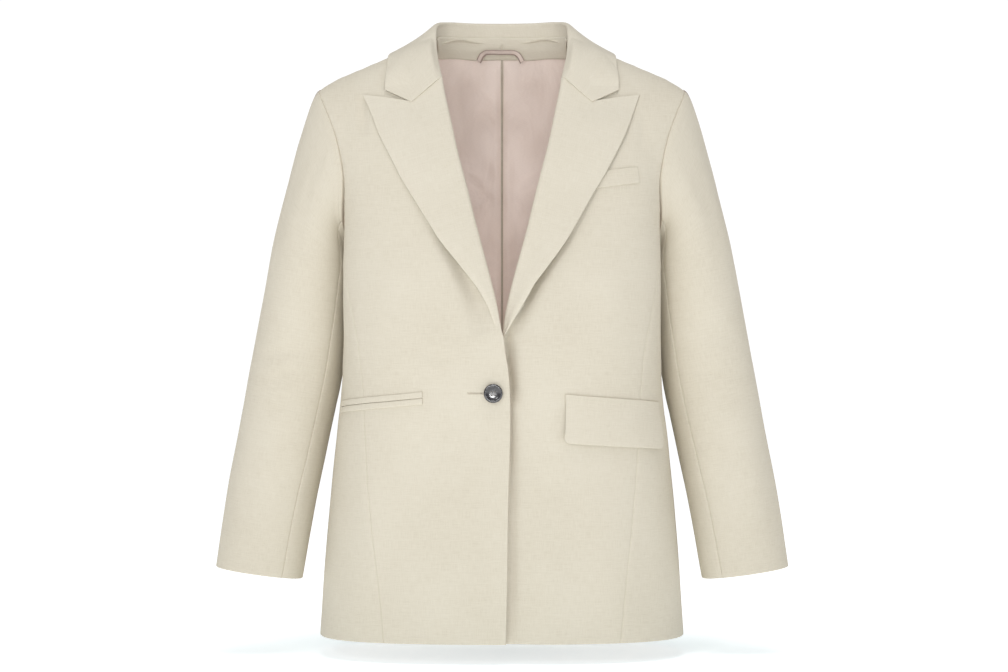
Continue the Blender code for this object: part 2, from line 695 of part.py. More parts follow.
def lapel_patch(over):
    """A lapel: u from the gorge to its foot, q over inner leaf, roll and outer leaf."""
    def face(q, u):
        angle = np.pi * (np.clip((q - Q_INNER) / (Q_ROLL - Q_INNER), 0, 1) - 0.5)
        middle = 0.5 * (OUTER_FACE + INNER_FACE)
        w = np.clip((q - Q_ROLL) / (1 - Q_ROLL), 0, 1)
        width = lapel_plan(u, w, over)[2]
        leaf = INNER_LEAF * np.clip((Q_INNER - q) / Q_INNER, 0, 1)
        leaf = np.minimum(leaf, width - ROLL_RADIUS)
        inset = np.where(q < Q_INNER, ROLL_RADIUS + leaf, ROLL_RADIUS * (1 - np.cos(angle)))
        inset = np.where(q > Q_ROLL, ROLL_RADIUS + (width - ROLL_RADIUS) * w, inset)
        rise = np.where(q < Q_INNER, INNER_FACE, middle + ROLL_RADIUS * np.sin(angle))
        rise = np.where(q > Q_ROLL, OUTER_FACE, rise)
        across, level, _ = lapel_plan(u, inset / width, over)
        rise = rise + lapel_lift(u, w, over) * (q > Q_ROLL)
        out = front_out(across, level, over)
        return front_face(across, level, over) + out * rise[..., None]

    return face


def clear_of_trunk(point):
    """Y of collar points, moved out where they would sink into the trunk."""
    across = np.abs(point[..., 0])
    level = point[..., 2] - COLLAR_DROP
    below = level < shoulder_height(across)
    front = trunk(turn_at(across, level), level)[..., 1] - COLLAR_LIFT
    back = trunk(turn_at(across, level, back=True), level)[..., 1] + COLLAR_LIFT
    y = point[..., 1]
    y = np.where(below & (y < 0), np.minimum(y, front), y)
    return np.where(below & (y >= 0), np.maximum(y, back), y)


def collar_patch(q, u):
    """The collar from the wearer's right gorge to the left one, stand, fold and fall."""
    share = COLLAR_END * (2 * u - 1)
    places = column(COLLAR_COLUMNS, COLLAR, "place")
    size = {}
    for name in COLLAR_COLUMNS[1:]:
        size[name] = MM * smooth(np.abs(share), places, column(COLLAR_COLUMNS, COLLAR, name))
    seat, fold, mid, edge = [
        np.stack([size[part + "_x"], size[part + "_y"], size[part + "_z"]], axis=-1)
        for part in ("seat", "fold", "mid", "edge")]
    crest = fold - 0.5 * (seat + mid)
    crest = crest / np.linalg.norm(crest, axis=-1, keepdims=True)
    out = mid - seat
    out = out - crest * np.sum(out * crest, axis=-1, keepdims=True)
    out = out / np.linalg.norm(out, axis=-1, keepdims=True)
    radius = ROLL_RADIUS
    centre = fold - crest * radius
    angle = np.pi * np.clip((q - Q_INNER) / (Q_ROLL - Q_INNER), 0, 1)[..., None]
    roll = centre - out * radius * np.cos(angle) + crest * radius * np.sin(angle)
    inner = seat + (centre - out * radius - seat) * np.clip(q / Q_INNER, 0, 1)[..., None]
    w = np.clip((q - Q_ROLL) / (1 - Q_ROLL), 0, 1)[..., None]
    start = centre + out * radius
    knee = NOTCH_SHARE
    near = np.clip(w / knee, 0, 1)
    far = np.clip((w - knee) / (1 - knee), 0, 1)
    bent = start + (mid - start) * near + (edge - mid) * far
    curved = (start * (w - knee) * (w - 1) / knee + mid * w * (w - 1) / (knee * (knee - 1))
              + edge * w * (w - knee) / (1 - knee))
    sharp = ease((np.abs(share) - 0.8) / 0.2)[..., None]
    fall = curved + (bent - curved) * sharp
    fall[..., 1] = clear_of_trunk(fall)
    point = np.where((q < Q_INNER)[..., None], inner, roll)
    point = np.where((q > Q_ROLL)[..., None], fall, point)
    point[..., 0] = point[..., 0] * np.where(share < 0, -1.0, 1.0)
    return point


# ---------------------------------------------------------------- pockets and loop
def strip_patch(line, over, down_from=0.0):
    """A strip on a front: u along the line, v down from it."""
    (turn0, level0), (turn1, level1), height = line

    def face(u, v):
        turn = turn0 + (turn1 - turn0) * u
        level = (level0 + (level1 - level0) * u - down_from - height * v) * MM
        point = trunk(turn, level)
        point[..., 1] = point[..., 1] + lap_shift(point[..., 0], level, over)
        return point

    return face


def flap_patch(u, v):
    """The pocket flap, with rounded lower corners."""
    (turn0, level0), (turn1, level1) = FLAP_TOP
    length = 140.0
    along = u * length
    end = np.minimum(along, length - along)
    corner = np.clip(1 - end / FLAP_CORNER, 0, 1)
    drop = FLAP_HEIGHT - FLAP_CORNER * (1 - np.sqrt(1 - corner ** 2))
    drop = drop - 1.5 * u
    turn = turn0 + (turn1 - turn0) * u + v * (0.8 + 1.4 * u)
    level = (level0 + (level1 - level0) * u - drop * v) * MM
    point = trunk(turn, level)
    point[..., 1] = point[..., 1] + lap_shift(point[..., 0], level, False)
    out = np.stack([np.cos(np.radians(turn)), -np.sin(np.radians(turn)), 0 * turn], axis=-1)
    return point + out * (2.0 * MM * ease(v))[..., None]


def loop_patch(u, v):
    """The hanging loop: u along it, v across its width."""
    def middle(at):
        places = column(LOOP_COLUMNS, LOOP, "place")
        return [smooth(at, places, column(LOOP_COLUMNS, LOOP, name)) for name in LOOP_COLUMNS[1:]]

    x, z = middle(u)
    x1, z1 = middle(np.clip(u + 0.01, 0, 1))
    x0, z0 = middle(np.clip(u - 0.01, 0, 1))
    run = np.hypot(x1 - x0, z1 - z0)
    aside = (v - 0.5) * LOOP_WIDTH
    across = (x + aside * (z1 - z0) / run) * MM
    level = (z - aside * (x1 - x0) / run) * MM
    mirror = np.where(across < 0, -1.0, 1.0)
    point = trunk(turn_at(np.maximum(np.abs(across), 1e-6), level, back=True), level)
    point[..., 0] = point[..., 0] * mirror
    point[..., 1] = point[..., 1] - 2.0 * MM * np.sin(np.pi * u)
    return point


# ---------------------------------------------------------------- button
def cylinder_between(name, radius, start, length, material, collection, sides=24):
    """A solid cylinder along -Y from a starting point."""
    build = bmesh.new()
    rings = []
    for reach in (0.0, -length):
        ring = []
        for step in range(sides):
            angle = 2 * math.pi * step / sides
            ring.append(build.verts.new((start[0] + radius * math.cos(angle), start[1] + reach,
                                         start[2] + radius * math.sin(angle))))
        rings.append(ring)
    for step in range(sides):
        after = (step + 1) % sides
        build.faces.new((rings[0][step], rings[0][after], rings[1][after], rings[1][step]))
    build.faces.new(rings[0])
    build.faces.new(rings[1])
    return add_object(name, build, material, collection)


BUTTON_PROFILE = (
    # radius share, height share: back centre, back rim, outer rim, raised rim, dish
    (0.0, 0.0),
    (0.80, 0.0),
    (0.96, 0.22),
    (1.0, 0.55),
    (0.97, 0.85),
    (0.88, 1.0),
    (0.76, 0.93),
    (0.62, 0.66),
    (0.30, 0.58),
    (0.0, 0.57),
)


def make_button(front, material, collection):
    """A four-hole button turned from its profile, facing -Y."""
    build = bmesh.new()
    chain = [build.verts.new((r * BUTTON_RADIUS, 0, h * BUTTON_THICK)) for r, h in BUTTON_PROFILE]
    for first, second in zip(chain, chain[1:]):
        build.edges.new((first, second))
    mesh = bpy.data.meshes.new("button")
    build.to_mesh(mesh)
    build.free()
    mesh.materials.append(material)
    button = bpy.data.objects.new("button", mesh)
    collection.objects.link(button)
    turned = button.modifiers.new("turned", "SCREW")
    turned.axis = "Z"
    turned.steps = 32
    turned.render_steps = 32
    turned.use_merge_vertices = True
    turned.merge_threshold = 0.00001
    turned.use_normal_calculate = True
    button.rotation_euler = (math.radians(90), 0, 0)
    button.location = (BUTTON_X, front, BUTTON_LEVEL)
    return button


def hide_cutter(cutter):
    """Keep a cutter out of the render."""
    cutter.hide_render = True
    cutter.display_type = "WIRE"


def cut(target, cutter):
    """Exact Boolean difference."""
    step = target.modifiers.new("cut_" + cutter.name, "BOOLEAN")
    step.operation = "DIFFERENCE"
    step.solver = "EXACT"
    step.object = cutter


def slot_cutter(front, collection):
    """Keyhole shape of the buttonhole: a round eye and a narrow slot."""
    build = bmesh.new()
    outline = []
    join = math.asin(SLOT_HALF / SLOT_EYE)
    for step in range(17):
        angle = math.pi - join - (2 * math.pi - 2 * join) * step / 16
        outline.append((BUTTON_X + SLOT_EYE * math.cos(angle), SLOT_EYE * math.sin(angle)))
    outline.append((BUTTON_X - SLOT_LENGTH, -SLOT_HALF))
    outline.append((BUTTON_X - SLOT_LENGTH, SLOT_HALF))
    rings = [[build.verts.new((x, front + reach, BUTTON_LEVEL + z)) for x, z in outline]
             for reach in (-0.006, 0.006)]
    count = len(outline)
    for step in range(count):
        after = (step + 1) % count
        build.faces.new((rings[0][step], rings[0][after], rings[1][after], rings[1][step]))
    build.faces.new(rings[0])
    build.faces.new(rings[1])
    cutter = add_object("buttonhole_cutter", build, None, collection)
    hide_cutter(cutter)
    return cutter


def hole_cutter(front, collection):
    """Four small cylinders through the button."""
    build = bmesh.new()
    for dx in (-1, 1):
        for dz in (-1, 1):
            rings = []
            for reach in (-0.008, 0.008):
                ring = []
                for step in range(12):
                    angle = 2 * math.pi * step / 12
                    ring.append(build.verts.new((
                        BUTTON_X + dx * BUTTON_HOLE_PITCH + BUTTON_HOLE * math.cos(angle),
                        front + reach,
                        BUTTON_LEVEL + dz * BUTTON_HOLE_PITCH + BUTTON_HOLE * math.sin(angle))))
                rings.append(ring)
            for step in range(12):
                after = (step + 1) % 12
                build.faces.new((rings[0][step], rings[0][after], rings[1][after], rings[1][step]))
            build.faces.new(rings[0])
            build.faces.new(rings[1])
    cutter = add_object("button_hole_cutter", build, None, collection)
    hide_cutter(cutter)
    return cutter


# ---------------------------------------------------------------- build
def build_garment():
    """Make every piece of the blazer."""
    clear_scene()
    parts = bpy.data.collections.new("single_breasted_blazer")
    cutters = bpy.data.collections.new("cutters")
    for group in (parts, cutters):
        bpy.context.scene.collection.children.link(group)
    stuff = {name: make_material(name) for name in MATERIALS}
    cloth = stuff["cloth"]
    lining = stuff["lining"]

    lower = [0.0] + list(SEAM_MARKS)
    side_u = [0.0, 0.1, 0.2, 0.32, 0.5, 0.75, 0.88, 1.0]
    back_u = [0.0, 0.08, 0.16, 0.24, 0.32, 0.4, 0.48, 0.62, 0.75, 0.88, 1.0]
    back_v = row_marks(BACK_SPLIT)
    lining_v = back_v[2:-1] + [0.985]
    facing_v = [0.0, 0.24, 1.0]
    top_around = [TOP_SLEEVE_BACK] + [-100 + 20 * step for step in range(12)] + [TOP_SLEEVE_FRONT]
    top_u = [(a - TOP_SLEEVE_BACK) / (TOP_SLEEVE_FRONT - TOP_SLEEVE_BACK) for a in top_around]
    under_around = [131, 140, 160, 180, 200, 220, 238]
    under_u = [(a - 131) / 107 for a in under_around]
    sleeve_v = [0, 0.06, 0.13, 0.22, 0.34, 0.47, 0.6, 0.73, 0.86, 1.0]
    lapel_q = [0, Q_INNER, 0.19, 0.24, 0.29, Q_ROLL, 0.48, 0.6246, 0.73, 0.8362, 0.92, 1.0]
    collar_q = [0, Q_INNER, 0.19, 0.24, 0.29, Q_ROLL, 0.49, 0.637, 0.82, 1.0]

    for side, hand in ((1, "left"), (-1, "right")):
        over = hand == "right"
        wall("front_" + hand, front_patch(over), 8, 0, CLOTH, -1, cloth, parts, side,
             v_marks=row_marks(FRONT_SPLIT))
        wall("side_" + hand, side_patch, 0, 0, CLOTH, -1, cloth, parts, side,
             u_marks=side_u, v_marks=lower)
        wall("back_" + hand, back_patch, 0, 0, CLOTH, 1, cloth, parts, side,
             u_marks=back_u, v_marks=back_v)
        wall("lining_" + hand, back_patch, 0, 0, LINING, 1, lining, parts, side,
             lift=-(CLOTH + SOFT_GAP), u_marks=back_u[:-1], v_marks=lining_v)
        wall("top_sleeve_" + hand, top_sleeve_patch, 0, 0, CLOTH, 1, cloth, parts, side,
             u_marks=top_u, v_marks=sleeve_v)
        wall("under_sleeve_" + hand, under_sleeve_patch, 0, 0, CLOTH, 1, cloth, parts, side,
             u_marks=under_u, v_marks=sleeve_v)
        wall("lapel_" + hand, lapel_patch(over), 0, 12, LEAF, -1, cloth, parts, side,
             u_marks=lapel_q)

    wall("collar", collar_patch, 0, 20, LEAF, -1, cloth, parts, u_marks=collar_q)
    wall("neck_facing", facing_patch, 12, 0, LEAF, 1, cloth, parts, lift=-(CLOTH + SOFT_GAP),
         v_marks=facing_v)
    loop_lift = -(CLOTH + SOFT_GAP + LEAF + SOFT_GAP)
    wall("hanging_loop", loop_patch, 14, 1, STRIP, 1, lining, parts, lift=loop_lift)
    strip_lift = STRIP + 1.6 * SOFT_GAP
    wall("chest_welt", strip_patch(CHEST_WELT, False), 6, 1, STRIP, -1, cloth, parts, 1,
         STRIP + SOFT_GAP)
    height = RIGHT_POCKET[2]
    wall("jet_upper_right", strip_patch(RIGHT_POCKET, True), 8, 1, STRIP, -1, cloth, parts,
         -1, strip_lift)
    wall("jet_lower_right", strip_patch(RIGHT_POCKET, True, height + 1.0), 8, 1, STRIP, -1, cloth,
         parts, -1, strip_lift)
    wall("flap_left", flap_patch, 0, 4, LEAF, -1, cloth, parts, 1, LEAF + 1.6 * SOFT_GAP,
         u_marks=[0, 0.02, 0.064, 0.2, 0.36, 0.52, 0.68, 0.84, 0.936, 0.98, 1])

    skin = front_face(np.array([-BUTTON_X]), np.array([BUTTON_LEVEL]), True)[0, 1]
    under = front_face(np.array([BUTTON_X]), np.array([BUTTON_LEVEL]), False)[0, 1]
    button_back = skin - 1.6 * MM
    button = make_button(button_back, stuff["horn"], parts)
    cut(button, hole_cutter(button_back, cutters))
    cut(bpy.data.objects["front_right"], slot_cutter(skin, cutters))
    stem_start = under - 3 * GAP
    cylinder_between("button_thread", THREAD_RADIUS, (BUTTON_X, stem_start, BUTTON_LEVEL),
                     stem_start - button_back - GAP, stuff["thread"], parts)


build_garment()
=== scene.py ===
"""Looks of a single breasted blazer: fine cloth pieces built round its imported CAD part.

Units are metres in the part's own frame: +Z up, the front faces -Y, the wearer's left is +X.
The garment's surface functions and tables are the part's own.  Each cloth piece is a thin closed
shell over its solid's form, with its folds, seam grooves and rolled edges.
"""

import math

import bmesh
import bpy
import numpy as np
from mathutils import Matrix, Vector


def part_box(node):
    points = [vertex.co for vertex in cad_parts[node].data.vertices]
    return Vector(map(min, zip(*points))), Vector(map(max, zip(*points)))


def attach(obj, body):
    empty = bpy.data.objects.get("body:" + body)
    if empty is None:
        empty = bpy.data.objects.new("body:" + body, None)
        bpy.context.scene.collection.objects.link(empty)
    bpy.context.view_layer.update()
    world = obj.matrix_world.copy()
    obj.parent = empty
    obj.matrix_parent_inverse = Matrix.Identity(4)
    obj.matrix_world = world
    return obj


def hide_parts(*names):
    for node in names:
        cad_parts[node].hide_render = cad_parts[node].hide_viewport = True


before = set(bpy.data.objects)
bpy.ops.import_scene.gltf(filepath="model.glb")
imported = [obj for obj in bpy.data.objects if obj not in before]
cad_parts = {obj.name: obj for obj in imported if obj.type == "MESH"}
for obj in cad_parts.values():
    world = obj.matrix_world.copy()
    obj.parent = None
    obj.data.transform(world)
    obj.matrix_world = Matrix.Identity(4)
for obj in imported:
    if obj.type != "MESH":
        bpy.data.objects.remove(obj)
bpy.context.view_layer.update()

MM = 0.001

# ---------------------------------------------------------------- sizes
CLOTH = 2.0 * MM            # body cloth with its interlining
LINING = 1.0 * MM           # lining cloth
LEAF = 1.6 * MM             # lapel and collar cloth
GAP = 0.3 * MM              # between pieces at a seam
SOFT_GAP = 1.0 * MM         # between pieces that lie on one another

SQUARENESS = 2.8            # power of the trunk's oval sections
FRONT_ROUND = 170 * MM      # height over which the front rounds up to the shoulder
BACK_ROUND = 170 * MM
TUCK_CENTRE = 14 * MM        # where the side is pressed in under the arm
TUCK_REACH = 52 * MM
NAPE_RISE = 10 * MM         # the back stands up beside the nape
NAPE_ACROSS = 50 * MM
NAPE_BACK = 45 * MM
NAPE_SPREAD = 26 * MM
NECK_HALF = 84 * MM         # neckline of the back: half width and depth behind the shoulder line
NECK_DEPTH = 67.5 * MM

SHOULDER_TIP = 222 * MM
HEM = -706 * MM
BREAK_LEVEL = -354 * MM     # foot of the roll lines
SIDE_SEAM_TOP = 140.0       # place on the armhole (see ARMHOLE) where the side panel starts

FRONT_SPLIT = 0.36          # share of a front's rows beside the armhole
FRONT_SEAM_TOP = -225 * MM
FRONT_TURN_LEVEL = -250 * MM
BACK_SPLIT = 0.34
BACK_SEAM_TOP = -216 * MM
BACK_TURN_LEVEL = -240 * MM
NECK_SHARE = 0.46           # share of the back's top edge along the neckline

OVERLAP_HIDDEN = -32 * MM   # hidden edge of the under front
OVER_RISE = 2.0 * MM        # the over front stands out at the closure
UNDER_SINK = 6.5 * MM       # the under front lies back behind it
ROLL_SET_BACK = 5.4         # the fronts stop this far behind the roll
ROLL_RADIUS = 3.6 * MM
INNER_LEAF = 14 * MM        # turned-in leaf behind the roll
OUTER_FACE = SOFT_GAP + LEAF
INNER_FACE = -(CLOTH + SOFT_GAP + LEAF)
Q_INNER = 0.14              # shares of a turned section: inner leaf, roll, outer leaf
Q_ROLL = 0.34
COLLAR_LIFT = 3.2 * MM      # the collar's fall stays this far off the trunk
COLLAR_DROP = 3.4 * MM

BUTTON_LEVEL = -418 * MM
BUTTON_X = -10 * MM
BUTTON_RADIUS = 11 * MM
BUTTON_THICK = 3.6 * MM
BUTTON_HOLE_PITCH = 1.9 * MM
SLOT_LENGTH = 29 * MM

# ---------------------------------------------------------------- tables
# the shoulder line, seen from the front
SHOULDER_COLUMNS = ("across", "height")
SHOULDER = (
    (0, 32.5),
    (6, 32.3),
    (20, 29.5),
    (40, 21.0),
    (60, 11.8),
    (78, 4),
    (136, -18.5),
    (173, -34),
    (202, -47),
    (222, -60),
    (260, -86),
)

# level sections of the trunk
TRUNK_COLUMNS = ("level", "half_width", "front_depth", "back_depth", "tuck")
TRUNK = (
    (40, 262, 58, 160, 0.0),
    (11, 258, 62, 135, 0.0),
    (-20, 255, 66, 113, 0.0),
    (-50, 251, 70, 110, 0.0),
    (-80, 240, 77, 109.5, 0.0),
    (-110, 225, 87, 109.5, 0.0),
    (-135, 214, 95, 111, 0.01),
    (-165, 205, 104, 112, 0.05),
    (-205, 200, 115, 111, 0.12),
    (-250, 199, 125, 106, 0.14),
    (-330, 196, 133, 99, 0.10),
    (-380, 192, 134, 96, 0.03),
    (-420, 191, 133, 96, 0.0),
    (-465, 197, 131, 98, 0.0),
    (-550, 205, 131, 106, 0.0),
    (-620, 211, 134, 113, 0.0),
    (-706, 217, 138, 119, 0.0),
)

# the armhole, from the shoulder tip (0) down to the underarm (180), front and back
ARMHOLE_COLUMNS = ("place", "front_level", "front_turn", "back_level", "back_turn")
ARMHOLE = (
    (0, -60, 11.8, -60, 17.5),
    (20, -78, 13.3, -76, 18.2),
    (45, -110, 15.8, -104, 18.4),
    (70, -138, 17.0, -130, 18.2),
    (95, -172, 17.2, -162, 17.2),
    (120, -203, 14.5, -192, 14.6),
    (140, -225, 10.0, -216, 10.4),
    (160, -240, 5.0, -237, 5.0),
    (180, -245, 0.0, -245, 0.0),
)

# the seams of the side panel, as turns round the trunk
SIDE_SEAM_COLUMNS = ("level", "front_turn", "back_turn")
SIDE_SEAM = (
    (-216, 8.0, 10.4),
    (-225, 10.0, 12.0),
    (-260, 16.5, 18.0),
    (-300, 22.5, 23.5),
    (-353, 27.5, 28.0),
    (-420, 30.0, 31.0),
    (-473, 32.0, 32.5),
    (-523, 33.6, 33.5),
    (-577, 36.0, 34.5),
    (-623, 38.4, 35.5),
    (-706, 42.0, 37.0),
)

# fronts' inner edge behind the roll, own side positive (same for both)
ROLL_COLUMNS = ("level", "crest")
ROLL = (
    (-46.8, 70.3),
    (-60, 68.0),
    (-90, 61.4),
    (-133, 52.2),
    (-177, 41.0),
    (-230, 27.8),
    (-280, 14.5),
    (-310, 7.2),
    (-340, 1.8),
    (-354, 0.6),
)

# fronts' neckline, under the collar
NECKLINE_COLUMNS = ("drop", "across")
NECKLINE = (
    (0, 96),
    (18, 96),
    (35, 94),
    (50, 87),
    (90, 67.5),
)

# outer edge of the lapels from the peak down
LAPEL_EDGE_COLUMNS = ("level", "over_edge", "under_edge")
LAPEL_EDGE = (
    (-67, 164.0, 162.0),
    (-90, 153.5, 153.5),
    (-113.5, 144.5, 144.5),
    (-145, 128.5, 129.0),
    (-168, 117.0, 116.5),
    (-182, 108.5, 108.0),
    (-220, 85.0, 86.5),
    (-240, 72.5, 75.0),
    (-274, 45.5, 51.0),
    (-300, 26.0, 32.0),
    (-339, 9.0, 9.0),
    (-354, 6.0, 6.0),
)

# the over front's edge from the break to the hem (towards the other side)
FRONT_EDGE_COLUMNS = ("level", "past_centre")
FRONT_EDGE = (
    (-340, 0.0),
    (-354, 1.5),
    (-374, 3.8),
    (-386, 5.8),
    (-414, 8.5),
    (-442, 9.1),
    (-541, 6.9),
    (-655, 5.2),
    (-706, 4.0),
)

# the collar, a row per section from the centre back to the gorge
COLLAR_COLUMNS = (
    "place",
    "seat_x", "seat_y", "seat_z",
    "fold_x", "fold_y", "fold_z",
    "mid_x", "mid_y", "mid_z",
    "edge_x", "edge_y", "edge_z",
)
COLLAR = (
    (0.00, 0, 66.5, 12.5, 0, 71.5, 31.0, 0, 80.0, 10.0, 0, 87.0, -12.0),
    (0.20, 34, 63.0, 11.5, 35, 67.5, 31.0, 42, 76.5, 10.5, 50, 82.5, -11.0),
    (0.38, 64, 45.0, 10.5, 66, 50.0, 30.5, 80, 57.0, 11.0, 94, 61.0, -9.0),
    (0.52, 77, 22.0, 8.0, 77.5, 25.0, 26.0, 99, 29.0, 9.0, 120, 31.0, -8.5),
    (0.65, 78, 3.0, 0.0, 79.5, 4.0, 14.5, 108, 3.0, 1.0, 134.5, 2.0, -13.0),
    (0.79, 76.5, -18.0, -20.0, 78, -17.0, -11.0, 108, -24.0, -13.5, 136.5, -30.0, -32.0),
    (0.91, 75, -37.0, -43.0, 73.5, -37.0, -34.0, 107, -47.0, -43.0, 138.0, -43.5, -49.0),
    (1.00, 80.5, -49.8, -58.7, 70.3, -49.7, -46.8, 106.3, -61.3, -76.5, 138.0, -48.0, -60.6),
)
NOTCH = (106.3, -76.5)      # across, level
PEAK_TOP = (139.0, -70.5)   # a point on the lapel's top edge
NOTCH_SHARE = 0.45          # share of the lapel's top edge before the notch

# the sleeves, a row per ring from the biceps to the cuff
SLEEVE_COLUMNS = ("share", "centre_x", "centre_y", "level", "half_width", "half_depth", "tilt")
SLEEVE = (
    (0.00, 228.6, 14, -262, 49.4, 64.0, 12.0),
    (0.19, 238.3, 15, -330, 53.2, 62.0, 11.5),
    (0.37, 248.8, 14, -400, 54.8, 58.0, 11.0),
    (0.56, 261.8, 6, -470, 54.2, 53.0, 10.5),
    (0.75, 275.3, -5, -540, 53.6, 47.0, 9.5),
    (1.00, 289.3, -22, -632.4, 52.0, 41.5, 8.0),
)
SLEEVE_POWER = 2.1
CAP_SHARE = 0.34            # share of a sleeve's rows that belong to the cap
TOP_SLEEVE_FRONT = 131.0    # front sleeve seam, degrees round from the outer side
TOP_SLEEVE_BACK = -122.0    # back sleeve seam

# how a sleeve leaves the armhole: direction (out, forward, down) and reach
CAP_COLUMNS = ("place", "out", "forward", "down", "reach")
CAP = (
    (-180, 0.40, 0.00, 0.90, 0.60),
    (-140, 0.65, -0.35, 0.60, 0.70),
    (-90, 0.80, -0.25, 0.55, 0.75),
    (-45, 0.88, -0.15, 0.50, 0.40),
    (0, 0.86, 0.00, 0.55, 0.18),
    (45, 0.88, 0.10, 0.50, 0.40),
    (90, 0.85, 0.00, 0.55, 0.75),
    (140, 0.70, -0.30, 0.60, 0.70),
    (180, 0.40, 0.00, 0.90, 0.60),
)

# pocket strips: ends as (turn, level), then their height
CHEST_WELT = ((46.0, -163.2), (27.0, -154.5), 18.5)
RIGHT_POCKET = ((54.0, -416.5), (13.5, -429.0), 6.6)
FLAP_TOP = ((60.4, -419.5), (19.0, -430.0))
FLAP_HEIGHT = 55.5
FLAP_CORNER = 7.0
STRIP = 1.2 * MM            # pocket strips

# the hanging loop's middle line on the facing, as (across, level)
LOOP_COLUMNS = ("place", "across", "level")
LOOP = (
    (0.00, -30.5, -13.6),
    (0.14, -25.8, -5.6),
    (0.20, -22.0, -2.6),
    (0.28, -16.5, -1.5),
    (0.50, -2.2, -1.1),
    (0.72, 12.1, -1.5),
    (0.80, 17.6, -2.6),
    (0.86, 21.6, -5.6),
    (1.00, 26.5, -13.6),
)
LOOP_WIDTH = 5.6


# ---------------------------------------------------------------- helpers
def column(columns, table, name):
    """One named column of a table."""
    place = columns.index(name)
    return np.array([row[place] for row in table], dtype=float)


def smooth(at, knots, values):
    """Cubic through the rows of a table, flat beyond its ends."""
    order = np.argsort(knots)
    knots = np.asarray(knots, dtype=float)[order]
    values = np.asarray(values, dtype=float)[order]
    slopes = np.gradient(values, knots)
    at = np.clip(at, knots[0], knots[-1])
    low = np.clip(np.searchsorted(knots, at) - 1, 0, len(knots) - 2)
    step = knots[low + 1] - knots[low]
    f = (at - knots[low]) / step
    start = values[low] * (1 + 2 * f) * (1 - f) ** 2
    end = values[low + 1] * f * f * (3 - 2 * f)
    bend = step * f * (1 - f) * (slopes[low] * (1 - f) - slopes[low + 1] * f)
    return start + end + bend


def ease(value):
    """Soft step from 0 to 1."""
    value = np.clip(value, 0.0, 1.0)
    return value * value * (3 - 2 * value)


def trunk_column(level, name):
    """A trunk size at a level, metres (the tuck is a share)."""
    found = smooth(level / MM, column(TRUNK_COLUMNS, TRUNK, "level"),
                   column(TRUNK_COLUMNS, TRUNK, name))
    return found if name == "tuck" else found * MM


def shoulder_height(across):
    """Height of the shoulder line."""
    return MM * smooth(np.abs(across) / MM, column(SHOULDER_COLUMNS, SHOULDER, "across"),
                       column(SHOULDER_COLUMNS, SHOULDER, "height"))


def rounding(across, level, height):
    """0 on the shoulder line, 1 below the rounded top."""
    drop = np.clip((shoulder_height(across) - level) / height, 0.0, 1.0)
    return np.sqrt(1.0 - (1.0 - drop) ** 2)


def oval(turn, level):
    """Plain oval section: distance across and depth at a turn, before rounding and tuck."""
    angle = np.radians(turn)
    half = trunk_column(level, "half_width")
    depth = np.where(np.sin(angle) >= 0, trunk_column(level, "front_depth"),
                     trunk_column(level, "back_depth"))
    reach = (np.abs(np.cos(angle) / half) ** SQUARENESS
             + np.abs(np.sin(angle) / depth) ** SQUARENESS) ** (-1.0 / SQUARENESS)
    return reach * np.cos(angle), -reach * np.sin(angle)


def trunk(turn, level):
    """Outer face of the trunk: turn 0 is the side, 90 the front, -90 the back."""
    x, y = oval(turn, level)
    y = y * rounding(x, level, np.where(y < 0, FRONT_ROUND, BACK_ROUND))
    pressed = np.exp(-((y - TUCK_CENTRE) / TUCK_REACH) ** 2)
    x = x * (1.0 - trunk_column(level, "tuck") * pressed)
    beside = ((np.abs(x) - NAPE_ACROSS) / NAPE_SPREAD) ** 2 + ((y - NAPE_BACK) / NAPE_SPREAD) ** 2
    nape = NAPE_RISE * np.exp(-beside) * ease((level + 90 * MM) / (80 * MM))
    return np.stack([x, y, level + nape], axis=-1)


def turn_at(across, level, back=False):
    """Turn of the point that lies at a distance across the front or back."""
    half = trunk_column(level, "half_width")
    depth = trunk_column(level, "back_depth" if back else "front_depth")
    share = np.clip(1.0 - np.abs(across / half) ** SQUARENESS, 0.0, 1.0)
    turn = np.degrees(np.arctan2(depth * share ** (1.0 / SQUARENESS), across))
    return -turn if back else turn


def lap_shift(across, level, over):
    """Step of the fronts along Y where they lap: the over front out, the under front in."""
    near = ease((60 * MM - across) / (60 * MM))
    low = ease((-240 * MM - level) / (90 * MM))
    if over:
        return -OVER_RISE * near * low
    return UNDER_SINK * near * low


def front_face(across, level, over):
    """Outer face of a front by distance across (own side positive) and level."""
    point = trunk(turn_at(across, level), level)
    point[..., 1] = point[..., 1] + lap_shift(across, level, over)
    return point


def armhole(place):
    """Turn and level round the armhole; place runs -180..180, the front positive."""
    places = column(ARMHOLE_COLUMNS, ARMHOLE, "place")
    read = [smooth(np.abs(place), places, column(ARMHOLE_COLUMNS, ARMHOLE, name))
            for name in ARMHOLE_COLUMNS[1:]]
    is_front = np.asarray(place) >= 0
    level = MM * np.where(is_front, read[0], read[2])
    turn = np.where(is_front, read[1], -read[3])
    tip = np.clip(1 - np.abs(place) / 12.0, 0, 1) ** 2
    level = level + (shoulder_height(oval(turn, level)[0]) - level) * tip
    return turn, level


def side_seam(level, name):
    """Turn of a side panel seam at a level."""
    turn = smooth(level / MM, column(SIDE_SEAM_COLUMNS, SIDE_SEAM, "level"),
                  column(SIDE_SEAM_COLUMNS, SIDE_SEAM, name))
    return -turn if name == "back_turn" else turn


